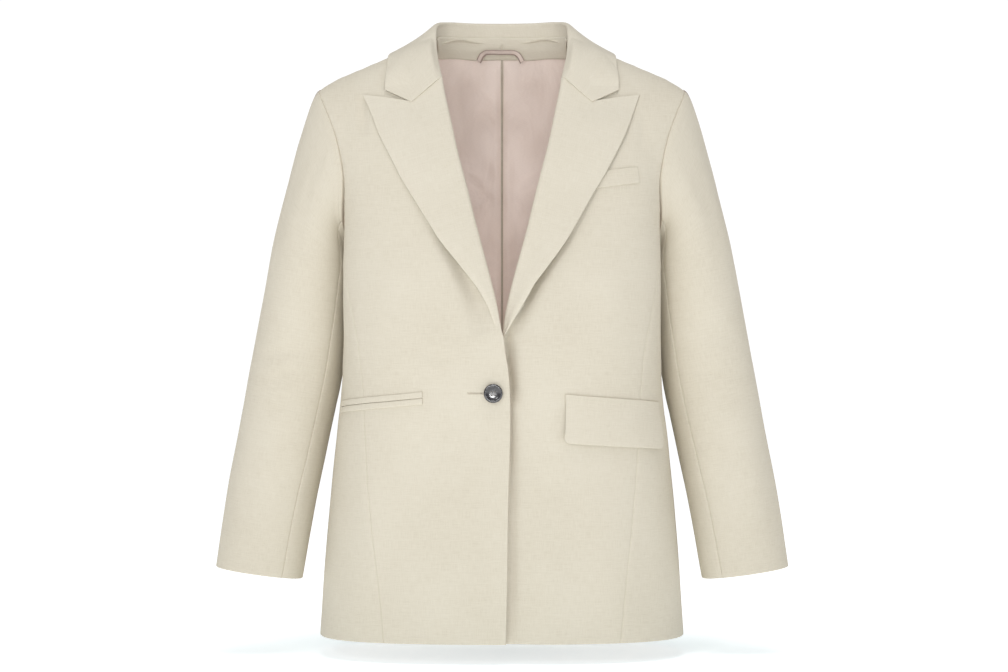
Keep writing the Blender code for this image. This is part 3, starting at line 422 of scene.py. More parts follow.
def normals(face, u, v, sign):
    """Unit normals of a face, from small steps inside the patch."""
    step = 2e-4
    u0 = np.clip(u - step, 0, 1)
    u1 = np.clip(u + step, 0, 1)
    v0 = np.clip(v - step, 0, 1)
    v1 = np.clip(v + step, 0, 1)
    normal = np.cross(face(u1, v) - face(u0, v), face(u, v1) - face(u, v0))
    length = np.linalg.norm(normal, axis=-1, keepdims=True)
    return sign * normal / np.maximum(length, 1e-12)


# ---------------------------------------------------------------- trunk pieces
def outer_edge(v, split, seam_top, front):
    """Turn and level down the armhole and then the side panel's seam."""
    upper = np.clip(v / split, 0, 1)
    lower = np.clip((v - split) / (1 - split), 0, 1)
    hole_turn, hole_level = armhole((1 if front else -1) * SIDE_SEAM_TOP * upper)
    level = np.where(v < split, hole_level, seam_top + (HEM - seam_top) * lower)
    seam = side_seam(level, "front_turn" if front else "back_turn")
    return np.where(v < split, hole_turn, seam), level


def front_patch(over):
    """Patch of one front: u from the inner edge to the side, v from the shoulder to the hem."""
    def face(u, v):
        out_turn, out_level = outer_edge(v, FRONT_SPLIT, FRONT_SEAM_TOP, True)
        out_turn = out_turn + 0.05
        out_across = oval(out_turn, out_level)[0]
        neck = front_inner(0 * v, over)
        top = shoulder_height(neck)
        foot = FRONT_TURN_LEVEL
        in_level = np.where(v < FRONT_SPLIT, top + (foot - top) * v / FRONT_SPLIT,
                            foot + (HEM - foot) * (v - FRONT_SPLIT) / (1 - FRONT_SPLIT))
        inner = front_inner(in_level, over)
        across = inner + (out_across - inner) * u
        in_drop = shoulder_height(inner) - in_level
        out_drop = shoulder_height(out_across) - out_level
        hung = shoulder_height(across) - np.maximum(in_drop + (out_drop - in_drop) * u, 0.02 * MM)
        settle = ease(v / FRONT_SPLIT)
        level = hung + (in_level + (out_level - in_level) * u - hung) * settle
        by_across = turn_at(across, level)
        by_turn = turn_at(inner, in_level)
        by_turn = by_turn + (out_turn - by_turn) * u
        point = trunk(by_across + (by_turn - by_across) * settle, level)
        point[..., 1] = point[..., 1] + lap_shift(point[..., 0], level, over) - 0.5 * GAP
        return point

    return face


def side_patch(u, v):
    """Patch of a side panel: u from its front seam to its back seam, v downward."""
    place = SIDE_SEAM_TOP + (360 - 2 * SIDE_SEAM_TOP) * u
    place = np.where(place > 180, place - 360, place)
    hole_turn, hole_level = armhole(place)
    top_front = side_seam(hole_level, "front_turn")
    top_back = side_seam(hole_level, "back_turn")
    top_share = (top_front - hole_turn) / (top_front - top_back)
    level = hole_level + (HEM - hole_level) * v
    share = top_share + (u - top_share) * ease(v * 3.0)
    front = side_seam(level, "front_turn") - 0.05
    back = side_seam(level, "back_turn") + 0.05
    return trunk(front + (back - front) * share, level)


def back_top(u):
    """Distance across and drop of the back's top edge: the neckline, then the shoulder line."""
    curve = np.clip(u / NECK_SHARE, 0, 1) * math.pi / 2
    beyond = np.clip((u - NECK_SHARE) / (1 - NECK_SHARE), 0, 1)
    across = np.where(u <= NECK_SHARE, NECK_HALF * np.sin(curve),
                      NECK_HALF + (SHOULDER_TIP - NECK_HALF) * beyond)
    behind = np.where(u <= NECK_SHARE, NECK_DEPTH * np.cos(curve), 0.0)
    depth = trunk_column(5 * MM, "back_depth")
    return across, BACK_ROUND * (1 - np.sqrt(1 - (behind / depth) ** 2))


def back_patch(u, v):
    """Patch of a back half: u from the centre back to the side, v downward."""
    out_turn, out_level = outer_edge(v, BACK_SPLIT, BACK_SEAM_TOP, False)
    out_turn = out_turn - 0.05
    out_across = oval(out_turn, out_level)[0]
    neck_drop = back_top(0 * u)[1]
    top = shoulder_height(0 * u) - neck_drop
    foot = BACK_TURN_LEVEL
    in_level = np.where(v < BACK_SPLIT, top + (foot - top) * v / BACK_SPLIT,
                        foot + (HEM - foot) * (v - BACK_SPLIT) / (1 - BACK_SPLIT))
    inner = 0.5 * GAP
    settle = ease(v / BACK_SPLIT)
    top_across, top_drop = back_top(u)
    fade = (1 - np.clip(v / BACK_SPLIT, 0, 1)) ** 2
    across = inner + (out_across - inner) * u
    top_across = np.maximum(top_across, inner)
    across = across + (top_across - (inner + (SHOULDER_TIP - inner) * u)) * fade
    in_drop = shoulder_height(0 * u) - in_level
    out_drop = shoulder_height(out_across) - out_level
    drop = in_drop + (out_drop - in_drop) * u
    drop = drop + (top_drop - neck_drop * (1 - u)) * fade
    hung = shoulder_height(across) - np.maximum(drop, 0.02 * MM)
    level = hung + (in_level + (out_level - in_level) * u - hung) * settle
    by_across = turn_at(across, level, back=True)
    by_turn = turn_at(inner + 0 * u, in_level, back=True)
    by_turn = by_turn + (out_turn - by_turn) * u
    point = trunk(by_across + (by_turn - by_across) * settle, level)
    point[..., 1] = point[..., 1] + 0.5 * GAP
    return point


# ---------------------------------------------------------------- sleeves
def sleeve_ring(around, share):
    """Point on the sleeve's tube; around is 0 on the outer side, 90 in front."""
    shares = column(SLEEVE_COLUMNS, SLEEVE, "share")
    size = {name: smooth(share, shares, column(SLEEVE_COLUMNS, SLEEVE, name))
            for name in SLEEVE_COLUMNS[1:]}
    angle = np.radians(around)
    tilt = np.radians(size["tilt"])
    reach = (np.abs(np.cos(angle) / size["half_width"]) ** SLEEVE_POWER
             + np.abs(np.sin(angle) / size["half_depth"]) ** SLEEVE_POWER) ** (-1 / SLEEVE_POWER)
    out = reach * np.cos(angle)
    x = size["centre_x"] + out * np.cos(tilt)
    y = size["centre_y"] - reach * np.sin(angle)
    z = size["level"] + out * np.sin(tilt)
    return MM * np.stack([x, y, z], axis=-1)


def sleeve(around, v):
    """Outer face of a sleeve from the armhole (v 0) to the cuff (v 1)."""
    place = np.where(around > 180, around - 360, around)
    places = column(CAP_COLUMNS, CAP, "place")
    read = [smooth(place, places, column(CAP_COLUMNS, CAP, name)) for name in CAP_COLUMNS[1:]]
    lead = np.stack([read[0], -read[1], -read[2]], axis=-1)
    lead = lead / np.linalg.norm(lead, axis=-1, keepdims=True)
    turn, level = armhole(place)
    start = trunk(turn, level)
    tiny = 0.5
    face_out = np.cross(trunk(turn + tiny, level) - start, trunk(turn, level - tiny * MM) - start)
    face_out = face_out / np.linalg.norm(face_out, axis=-1, keepdims=True)
    hang = np.sin(np.radians(place) / 2)[..., None] ** 2
    start = start + lead * (2 * GAP) + face_out * (5 * GAP * hang)
    ring = sleeve_ring(around, 0 * v)
    onward = sleeve_ring(around, 0 * v + 0.02) - ring
    onward = onward / np.linalg.norm(onward, axis=-1, keepdims=True)
    span = np.linalg.norm(ring - start, axis=-1, keepdims=True)
    f = np.clip(v / CAP_SHARE, 0, 1)[..., None]
    cap = (start * (1 + 2 * f) * (1 - f) ** 2 + ring * f * f * (3 - 2 * f)
           + f * (1 - f) * span * (lead * read[3][..., None] * (1 - f) - onward * f))
    tube = sleeve_ring(around, np.clip((v - CAP_SHARE) / (1 - CAP_SHARE), 0, 1))
    return np.where((v < CAP_SHARE)[..., None], cap, tube)


def top_sleeve_patch(u, v):
    """Upper sleeve piece: u from the back seam round the outer side to the front seam."""
    start = TOP_SLEEVE_BACK + 0.15
    return sleeve(start + (TOP_SLEEVE_FRONT - 0.15 - start) * u, v)


def under_sleeve_patch(u, v):
    """Under sleeve piece: u from the front seam round the inner side to the back seam."""
    start = TOP_SLEEVE_FRONT + 0.15
    return sleeve(start + (TOP_SLEEVE_BACK + 360 - 0.15 - start) * u, v)


# ---------------------------------------------------------------- lapels and collar
def front_out(across, level, over):
    """Outward unit normal of a front."""
    step = 0.5 * MM
    side = front_face(across + step, level, over) - front_face(across - step, level, over)
    down = front_face(across, level - step, over) - front_face(across, level + step, over)
    out = np.cross(down, side)
    return out / np.linalg.norm(out, axis=-1, keepdims=True)


def clear_of_trunk(point):
    """Y of collar points, moved out where they would sink into the trunk."""
    across = np.abs(point[..., 0])
    level = point[..., 2] - COLLAR_DROP
    below = level < shoulder_height(across)
    front = trunk(turn_at(across, level), level)[..., 1] - COLLAR_LIFT
    back = trunk(turn_at(across, level, back=True), level)[..., 1] + COLLAR_LIFT
    y = point[..., 1]
    y = np.where(below & (y < 0), np.minimum(y, front), y)
    return np.where(below & (y >= 0), np.maximum(y, back), y)


def collar_patch(q, u):
    """The collar from the wearer's right gorge to the left one, stand, fold and fall."""
    share = COLLAR_END * (2 * u - 1)
    places = column(COLLAR_COLUMNS, COLLAR, "place")
    size = {}
    for name in COLLAR_COLUMNS[1:]:
        size[name] = MM * smooth(np.abs(share), places, column(COLLAR_COLUMNS, COLLAR, name))
    seat, fold, mid, edge = [
        np.stack([size[part + "_x"], size[part + "_y"], size[part + "_z"]], axis=-1)
        for part in ("seat", "fold", "mid", "edge")]
    crest = fold - 0.5 * (seat + mid)
    crest = crest / np.linalg.norm(crest, axis=-1, keepdims=True)
    out = mid - seat
    out = out - crest * np.sum(out * crest, axis=-1, keepdims=True)
    out = out / np.linalg.norm(out, axis=-1, keepdims=True)
    radius = ROLL_RADIUS
    centre = fold - crest * radius
    angle = np.pi * np.clip((q - Q_INNER) / (Q_ROLL - Q_INNER), 0, 1)[..., None]
    roll = centre - out * radius * np.cos(angle) + crest * radius * np.sin(angle)
    inner = seat + (centre - out * radius - seat) * np.clip(q / Q_INNER, 0, 1)[..., None]
    w = np.clip((q - Q_ROLL) / (1 - Q_ROLL), 0, 1)[..., None]
    start = centre + out * radius
    knee = NOTCH_SHARE
    near = np.clip(w / knee, 0, 1)
    far = np.clip((w - knee) / (1 - knee), 0, 1)
    bent = start + (mid - start) * near + (edge - mid) * far
    curved = (start * (w - knee) * (w - 1) / knee + mid * w * (w - 1) / (knee * (knee - 1))
              + edge * w * (w - knee) / (1 - knee))
    sharp = ease((np.abs(share) - 0.8) / 0.2)[..., None]
    fall = curved + (bent - curved) * sharp
    fall[..., 1] = clear_of_trunk(fall)
    point = np.where((q < Q_INNER)[..., None], inner, roll)
    point = np.where((q > Q_ROLL)[..., None], fall, point)
    point[..., 0] = point[..., 0] * np.where(share < 0, -1.0, 1.0)
    return point


# ---------------------------------------------------------------- pockets and loop
def strip_patch(line, over, down_from=0.0):
    """A strip on a front: u along the line, v down from it."""
    (turn0, level0), (turn1, level1), height = line

    def face(u, v):
        turn = turn0 + (turn1 - turn0) * u
        level = (level0 + (level1 - level0) * u - down_from - height * v) * MM
        point = trunk(turn, level)
        point[..., 1] = point[..., 1] + lap_shift(point[..., 0], level, over)
        return point

    return face


def flap_patch(u, v):
    """The pocket flap, with rounded lower corners."""
    (turn0, level0), (turn1, level1) = FLAP_TOP
    length = 140.0
    along = u * length
    end = np.minimum(along, length - along)
    corner = np.clip(1 - end / FLAP_CORNER, 0, 1)
    drop = FLAP_HEIGHT - FLAP_CORNER * (1 - np.sqrt(1 - corner ** 2))
    drop = drop - 1.5 * u
    turn = turn0 + (turn1 - turn0) * u + v * (0.8 + 1.4 * u)
    level = (level0 + (level1 - level0) * u - drop * v) * MM
    point = trunk(turn, level)
    point[..., 1] = point[..., 1] + lap_shift(point[..., 0], level, False)
    out = np.stack([np.cos(np.radians(turn)), -np.sin(np.radians(turn)), 0 * turn], axis=-1)
    return point + out * (2.0 * MM * ease(v))[..., None]


def loop_patch(u, v):
    """The hanging loop: u along it, v across its width."""
    def middle(at):
        places = column(LOOP_COLUMNS, LOOP, "place")
        return [smooth(at, places, column(LOOP_COLUMNS, LOOP, name)) for name in LOOP_COLUMNS[1:]]

    x, z = middle(u)
    x1, z1 = middle(np.clip(u + 0.01, 0, 1))
    x0, z0 = middle(np.clip(u - 0.01, 0, 1))
    run = np.hypot(x1 - x0, z1 - z0)
    aside = (v - 0.5) * LOOP_WIDTH
    across = (x + aside * (z1 - z0) / run) * MM
    level = (z - aside * (x1 - x0) / run) * MM
    mirror = np.where(across < 0, -1.0, 1.0)
    point = trunk(turn_at(np.maximum(np.abs(across), 1e-6), level, back=True), level)
    point[..., 0] = point[..., 0] * mirror
    point[..., 1] = point[..., 1] - 2.0 * MM * np.sin(np.pi * u)
    return point


# ---------------------------------------------------------------- folds
# soft folds of the trunk seen from the front: a line from one point to another in mm across and
# level (the wearer's left positive), its sideways bow, its half width and its height (hollow < 0);
# columns: across0, level0, across1, level1, bow, width, height
FRONT_FOLDS = (
    (-165, -66, -161, -116, 2, 6.5, -3.6),
    (-176, -130, -178, -230, 2, 9.0, -1.3),
    (-141, -32, -146, -62, -3, 5.0, -1.6),
    (-174, -95, -176, -235, 5, 12.0, 1.0),
    (-186, -120, -190, -262, 3, 10.0, -1.4),
    (-77, -218, -21, -350, -7, 12.0, -8.6),
    (-128, -250, -112, -400, 6, 30.0, 1.6),
    (-46, -388, -96, -372, 3, 9.0, -0.8),
    (-30, -432, -92, -470, -6, 11.0, -0.7),
    (-84, -440, -92, -690, 5, 34.0, -1.6),
    (-40, -470, -34, -700, 3, 20.0, 1.3),
    (-150, -460, -168, -704, -6, 22.0, 1.5),
    (-126, -560, -132, -704, 3, 15.0, -1.0),
    (78, -224, 10, -350, 7, 10.0, -9.6),
    (166, -84, 164, -142, -2, 9.0, -1.6),
    (178, -110, 180, -250, -4, 12.0, -1.3),
    (120, -252, 118, -392, -7, 28.0, 1.7),
    (36, -400, 92, -382, -3, 10.0, -0.9),
    (26, -470, 30, -704, 4, 16.0, 1.2),
    (66, -500, 78, -704, -5, 26.0, -1.5),
    (120, -520, 128, -704, 4, 24.0, 1.4),
    (160, -500, 176, -704, 5, 18.0, -1.2),
)
# on the under front alone: the hollow beside the over front's edge
UNDER_FOLDS = (
    (5, -340, 11, -432, 2, 8.5, -11.0),
    (9, -392, 12, -560, 1, 7.0, -4.0),
    (11, -520, 9, -716, -1, 6.0, -3.0),
)
# on the over front alone: the lift of its free edge
OVER_FOLDS = (
    (4, -342, 8, -424, -3, 9.0, 2.8),
)
BACK_FOLDS = (
    (-98, -120, -118, -392, -10, 20.0, -2.2),
    (-60, -150, -64, -300, 4, 24.0, 1.4),
    (-182, -110, -166, -262, 8, 10.0, -2.2),
    (-20, -392, -122, -372, 6, 10.0, -1.3),
    (-34, -424, -104, -430, -5, 9.0, -0.9),
    (-60, -470, -74, -704, 5, 26.0, 1.9),
    (-120, -480, -134, -704, -6, 20.0, -1.8),
    (-166, -520, -178, -704, 4, 17.0, 1.4),
    (92, -116, 108, -372, 9, 22.0, -1.9),
    (52, -160, 58, -330, -5, 20.0, 1.2),
    (180, -118, 162, -250, -9, 11.0, -2.4),
    (24, -400, 112, -386, -7, 9.0, -1.1),
    (40, -436, 128, -424, 5, 12.0, -1.0),
    (44, -500, 50, -704, -5, 22.0, 1.6),
    (104, -460, 122, -704, 7, 24.0, -2.0),
    (158, -540, 170, -704, -4, 16.0, 1.3),
    (-6, -70, 4, -130, 0, 26.0, 1.0),
)
# the same for the sides, the first and third number being the distance behind the middle
RIGHT_FOLDS = (
    (24, -262, 14, -420, 5, 13.0, -1.8),
    (-30, -300, -22, -470, -4, 15.0, 1.2),
    (30, -392, -30, -404, 4, 9.0, -1.2),
    (8, -470, 18, -704, 5, 22.0, 1.5),
    (48, -520, 58, -704, -4, 17.0, -1.4),
    (-46, -540, -54, -704, 4, 15.0, -1.1),
)
LEFT_FOLDS = (
    (18, -256, 26, -400, -5, 14.0, -1.6),
    (-34, -290, -28, -440, 4, 13.0, 1.1),
    (36, -384, -18, -398, -4, 10.0, -1.3),
    (-8, -500, 2, -704, -5, 20.0, 1.4),
    (40, -480, 52, -704, 5, 19.0, -1.5),
    (-50, -560, -58, -704, -3, 14.0, 1.0),
)
# folds of the sleeves: from and to (degrees round, share along), bow in degrees, width, height;
# columns: around0, along0, around1, along1, bow, width, height
RIGHT_SLEEVE_FOLDS = (
    (52, 0.05, 74, 0.36, 5, 11.0, -1.5),
    (20, 0.08, 34, 0.44, -6, 16.0, 1.2),
    (-8, 0.16, -2, 0.52, 4, 15.0, -1.0),
    (112, 0.50, 44, 0.555, 6, 9.0, -1.7),
    (120, 0.575, 62, 0.60, -5, 8.0, -1.5),
    (104, 0.655, 40, 0.625, 5, 9.0, -1.3),
    (70, 0.68, 78, 0.94, 6, 16.0, 1.2),
    (24, 0.70, 34, 0.98, -5, 14.0, -1.1),
    (-60, 0.10, -74, 0.40, 6, 13.0, -2.0),
    (-52, 0.50, -116, 0.565, 6, 11.0, -2.0),
    (-40, 0.62, -100, 0.60, -6, 10.0, 1.3),
    (-86, 0.66, -74, 0.97, 6, 16.0, -1.5),
    (150, 0.22, 168, 0.48, 5, 12.0, -1.6),
    (200, 0.40, 178, 0.62, -5, 13.0, 1.3),
    (214, 0.60, 206, 0.95, 5, 14.0, -1.3),
)
LEFT_SLEEVE_FOLDS = (
    (58, 0.06, 70, 0.40, -6, 12.0, -1.3),
    (26, 0.05, 30, 0.40, 6, 15.0, 1.1),
    (-6, 0.22, 4, 0.58, -5, 14.0, -1.0),
    (116, 0.48, 52, 0.535, -5, 10.0, -1.6),
    (108, 0.56, 48, 0.585, 6, 8.0, -1.4),
    (98, 0.62, 34, 0.66, -5, 10.0, -1.1),
    (62, 0.70, 74, 0.96, -6, 15.0, 1.2),
    (18, 0.66, 30, 0.97, 5, 15.0, -1.0),
    (-64, 0.12, -70, 0.42, -6, 12.0, -1.8),
    (-48, 0.52, -110, 0.60, -7, 12.0, -2.1),
    (-58, 0.66, -104, 0.64, 5, 9.0, 1.2),
    (-80, 0.70, -70, 0.98, -6, 15.0, -1.4),
    (156, 0.20, 170, 0.50, -5, 13.0, -1.5),
    (196, 0.44, 184, 0.64, 5, 12.0, 1.2),
    (210, 0.58, 202, 0.95, -5, 13.0, -1.2),
)
SLEEVE_GIRTH = 336.0        # mm round a sleeve, and its length
SLEEVE_LENGTH = 590.0
FOLD_EASE = 0.75            # power of a fold's fade towards its ends


def fold_height(a, b, table, scale_a=1.0, scale_b=1.0):
    """Height in mm that a table of folds adds at the point (a, b)."""
    total = np.zeros_like(a)
    for a0, b0, a1, b1, bow, width, height in table:
        start = np.array([a0 * scale_a, b0 * scale_b])
        run = np.array([a1 * scale_a, b1 * scale_b]) - start
        length = math.hypot(*run)
        along_a, along_b = run / length
        da = a * scale_a - start[0]
        db = b * scale_b - start[1]
        share = np.clip((da * along_a + db * along_b) / length, -0.2, 1.2)
        aside = da * along_b - db * along_a - bow * scale_a * 4 * share * (1 - share)
        inside = np.clip(share * (1 - share) * 4, 0.0, 1.0)
        wide = width * (0.75 + 0.35 * share)
        total = total + height * inside ** FOLD_EASE * np.exp(-((aside / wide) ** 2))
    return total


def drift(point):
    """Slow unevenness of cloth, in mm."""
    x, y, z = [point[..., k] / MM for k in range(3)]
    first = np.sin(x / 31.0 + 0.6 * np.sin(z / 57.0)) * np.sin(z / 74.0 + 0.9)
    second = np.sin((x + 0.6 * z) / 19.0 + 1.7) * np.sin((y - 0.3 * z) / 26.0 + 0.4)
    third = np.sin((z - 0.4 * x) / 12.0 + np.sin(x / 23.0)) * np.sin((x + y) / 17.0)
    return 0.30 * first + 0.20 * second + 0.09 * third


def drape(point, side):
    """Height of the trunk's cloth over its plain form, metres; side is 1 for the wearer's left."""
    x = point[..., 0] / MM * side
    y = point[..., 1] / MM
    z = point[..., 2] / MM
    to_front = ease((30 - y) / 60)
    to_side = ease((np.abs(x) - 150) / 40)
    height = fold_height(x, z, FRONT_FOLDS + (UNDER_FOLDS if side > 0 else OVER_FOLDS)) * to_front
    height = height + fold_height(x, z, BACK_FOLDS) * (1 - to_front)
    flank = RIGHT_FOLDS if side < 0 else LEFT_FOLDS
    height = height + fold_height(y, z, flank) * to_side
    turned = np.stack([point[..., 0] * side, point[..., 1], point[..., 2]], axis=-1)
    return MM * (height + drift(turned))


def sleeve_drape(around, v, point, side):
    """Height of a sleeve's cloth over its plain form, metres."""
    around = np.where(around > 225, around - 360, around)
    table = RIGHT_SLEEVE_FOLDS if side < 0 else LEFT_SLEEVE_FOLDS
    height = fold_height(around, v, table, SLEEVE_GIRTH / 360, SLEEVE_LENGTH)
    turned = np.stack([point[..., 0] * side, point[..., 1], point[..., 2]], axis=-1)
    return MM * (height + 1.2 * drift(turned))


# ---------------------------------------------------------------- shells
SEAM_DEPTH = 0.9 * MM       # cloth dips this far into a seam
SEAM_WIDTH = 2.2 * MM
SEAM_RIDGE = 0.22 * MM      # pressed allowance beside a seam
RIDGE_OFF = 7.0 * MM
RIDGE_WIDTH = 3.0 * MM
PUCKER = 0.16 * MM
PUCKER_PITCH = 5.2 * MM
EDGE_STEPS = (0.0, 0.35, 0.8, 1.4, 2.2, 3.2, 4.6)


def marks(length, step):
    """Shares along a side of some length in mm: close beside its ends, even between them."""
    inner = EDGE_STEPS[-1]
    count = max(2, int(round((length - 2 * inner) / step)))
    middle = np.linspace(inner, length - inner, count + 1)
    near = np.array(EDGE_STEPS[:-1])
    return np.concatenate([near, middle, length - near[::-1]]) / length


def merge_marks(base, breaks, reach):
    """Marks with extra ones at given shares, dropping those too near to them."""
    kept = [m for m in base if all(abs(m - b) > reach for b in breaks) or m in (0.0, 1.0)]
    return np.array(sorted(set(kept) | set(breaks)))


def side_distances(points):
    """Distance of each grid point from the grid's four sides, metres."""
    across = np.linalg.norm(np.diff(points, axis=1), axis=-1)
    down = np.linalg.norm(np.diff(points, axis=0), axis=-1)
    low_u = np.concatenate([np.zeros_like(across[:, :1]), np.cumsum(across, axis=1)], axis=1)
    low_v = np.concatenate([np.zeros_like(down[:1]), np.cumsum(down, axis=0)], axis=0)
    return {"low_u": low_u, "high_u": low_u[:, -1:] - low_u,
            "low_v": low_v, "high_v": low_v[-1:] - low_v}


def seam_offset(away, along, share):
    """Dip, pressed ridge and slight pucker beside a seam."""
    dip = -SEAM_DEPTH * share * (1 - np.sqrt(np.clip(1 - (1 - np.clip(away / SEAM_WIDTH, 0, 1)) ** 2, 0, 1)))
    ridge = SEAM_RIDGE * np.exp(-((away - RIDGE_OFF) / RIDGE_WIDTH) ** 2)
    wave = np.sin(along / PUCKER_PITCH * 2 + 2.3 * np.sin(along / (27 * MM)))
    pucker = PUCKER * wave * np.exp(-(away / (6 * MM)) ** 2) * (0.5 + 0.5 * np.sin(along / (61 * MM)))
    return dip + ridge + pucker


def grid_mesh(name, outer, inner, rim, flip, cloth_map, materials):
    """Closed mesh from two skins and the rim row between them."""
    rows, cols, _ = outer.shape
    count = rows * cols
    index = np.arange(count).reshape(rows, cols)
    quads = np.stack([index[:-1, :-1], index[:-1, 1:], index[1:, 1:], index[1:, :-1]], axis=-1)
    front = quads.reshape(-1, 4)
    loop = np.concatenate([index[0, :-1], index[:-1, -1], index[-1, :0:-1], index[:0:-1, 0]])
    ring = 2 * count + np.arange(len(loop))
    after = np.roll(np.arange(len(loop)), -1)
    lower = np.stack([loop, ring, ring[after], loop[after]], axis=-1)
    upper = np.stack([ring, loop + count, loop[after] + count, ring[after]], axis=-1)
    faces = np.concatenate([front, front[:, ::-1] + count, lower, upper])
    if flip:
        faces = faces[:, ::-1]
    points = np.concatenate([outer.reshape(-1, 3), inner.reshape(-1, 3), rim])
    flat = cloth_map.reshape(-1, 2)
    maps = np.concatenate([flat, flat, flat[loop]])
    mesh = bpy.data.meshes.new(name)
    mesh.from_pydata(points.tolist(), [], faces.tolist())
    for material in materials:
        mesh.materials.append(material)
    inside = np.zeros(len(faces), dtype=np.int32)
    if len(materials) > 1:
        inside[len(front):2 * len(front)] = 1
    mesh.polygons.foreach_set("material_index", inside)
    mesh.polygons.foreach_set("use_smooth", np.ones(len(faces), dtype=bool))
    corners = np.zeros(len(mesh.loops), dtype=np.int32)
    mesh.loops.foreach_get("vertex_index", corners)
    layer = mesh.uv_layers.new(name="grain")
    layer.uv.foreach_set("vector", maps[corners].astype(np.float32).ravel())
    mesh.update()
    item = bpy.data.objects.new(name, mesh)
    bpy.context.scene.collection.objects.link(item)
    return item


def unit(run):
    """Vectors made one long."""
    return run / np.maximum(np.linalg.norm(run, axis=-1, keepdims=True), 1e-9)


def add_allowance(outer, inner, flat, where, reach, sink):
    """A further row past one side, let down under the neighbouring piece."""
    turned = where.endswith("u")
    if turned:
        outer, inner, flat = [np.swapaxes(a, 0, 1) for a in (outer, inner, flat)]
    edge, beside = (0, 1) if where.startswith("low") else (-1, -2)
    away = unit(outer[edge] - outer[beside])
    down = unit(outer[edge] - inner[edge])
    reach = np.asarray(reach)[..., None] if np.ndim(reach) else reach
    sink = np.asarray(sink)[..., None] if np.ndim(sink) else sink
    move = away * reach - down * sink
    rows = []
    for skin, shift in ((outer, move), (inner, move), (flat, 0.0)):
        new = (skin[edge] + shift)[None]
        rows.append(np.concatenate([new, skin] if edge == 0 else [skin, new]))
    if turned:
        rows = [np.swapaxes(a, 0, 1) for a in rows]
    return rows


def soften_columns(skin, us, low, high, passes):
    """Skin smoothed along its rows between two shares."""
    near = np.minimum(us - low, high - us) / (0.25 * (high - low))
    weight = np.clip(near, 0, 1)[None, :, None]
    for _ in range(passes):
        mean = skin.copy()
        mean[:, 1:-1] = 0.25 * skin[:, :-2] + 0.5 * skin[:, 1:-1] + 0.25 * skin[:, 2:]
        skin = skin + (mean - skin) * weight
    return skin


CUT = {}


def measure_cut(name, points):
    """Keep a piece's width, length and area as it would lie flat, metres."""
    across = np.linalg.norm(np.diff(points, axis=1), axis=-1)
    down = np.linalg.norm(np.diff(points, axis=0), axis=-1)
    width, length = across.sum(axis=1).max(), down.sum(axis=0).max()
    one = np.cross(points[1:, :-1] - points[:-1, :-1], points[:-1, 1:] - points[:-1, :-1])
    two = np.cross(points[1:, :-1] - points[1:, 1:], points[:-1, 1:] - points[1:, 1:])
    area = 0.5 * (np.linalg.norm(one, axis=-1).sum() + np.linalg.norm(two, axis=-1).sum())
    CUT[name] = (float(width), float(length), float(min(area, width * length)))


def shell(name, face, us, vs, thickness, sign, materials, side=1, lift=0.0, seams=(),
          relief=None, cloth_map=None, allowances=(), soften=None):
    """A thin closed piece over face(u, v), with seam dips on some sides and a rounded rim."""
    v, u = np.meshgrid(vs, us, indexing="ij")
    base = face(u, v)
    out = normals(face, u, v, sign)
    away = side_distances(base)
    height = np.full(u.shape, float(lift))
    if relief is not None:
        height = height + relief(u, v, base)
    for where, share in seams:
        along = away["low_v"] if where in ("low_u", "high_u") else away["low_u"]
        height = height + seam_offset(away[where], along, share)
    outer = base + out * height[..., None]
    inner = base + out * (height - thickness)[..., None]
    if soften is not None:
        outer = soften_columns(outer, us, *soften)
        inner = soften_columns(inner, us, *soften)
    mirror = np.array([side, 1.0, 1.0])
    outer = outer * mirror
    inner = inner * mirror
    if cloth_map is None:
        flat = np.stack([away["low_u"], -away["low_v"]], axis=-1)
    else:
        flat = cloth_map(u, v, base, away)
    for where, reach, sink in allowances:
        outer, inner, flat = add_allowance(outer, inner, flat, where, reach, sink)
    middle = 0.5 * (outer + inner)
    measure_cut(name, middle)
    push = np.zeros_like(middle)
    push[0] += unit(middle[0] - middle[1])
    push[-1] += unit(middle[-1] - middle[-2])
    push[:, -1] += unit(middle[:, -1] - middle[:, -2])
    push[:, 0] += unit(middle[:, 0] - middle[:, 1])
    swell = middle + push * (0.4 * thickness)
    rim = np.concatenate([swell[0, :-1], swell[:-1, -1], swell[-1, :0:-1], swell[:0:-1, 0]])
    return grid_mesh(name, outer, inner, rim, sign * side < 0, flat, materials)


def trunk_map(u, v, base, away):
    """Grain of a trunk panel: round the body from the middle, and level."""
    step = np.hypot(np.diff(base[..., 0], axis=1), np.diff(base[..., 1], axis=1))
    run = np.concatenate([np.zeros_like(step[:, :1]), np.cumsum(step, axis=1)], axis=1)
    start = base[:, :1, 0]
    return np.stack([start + run, base[..., 2]], axis=-1)


# ---------------------------------------------------------------- materials
WEAVE_PITCH = 0.95 * MM
CLOTH_COLOUR = (0.655, 0.605, 0.50, 1.0)
CLOTH_SHADE = (0.575, 0.52, 0.415, 1.0)
CLOTH_LIGHT = (0.715, 0.67, 0.57, 1.0)
LINING_COLOUR = (0.81, 0.70, 0.635, 1.0)
LINING_SHADE = (0.69, 0.58, 0.52, 1.0)
LINING_DARK = (0.24, 0.17, 0.14, 1.0)
LINING_SEAM = 1.15 * MM      # half width of the dark line of its centre seam
LINING_PAINTED_GLOW = 0.075         # painted light: the lining glows faintly, brightening the inside of the back
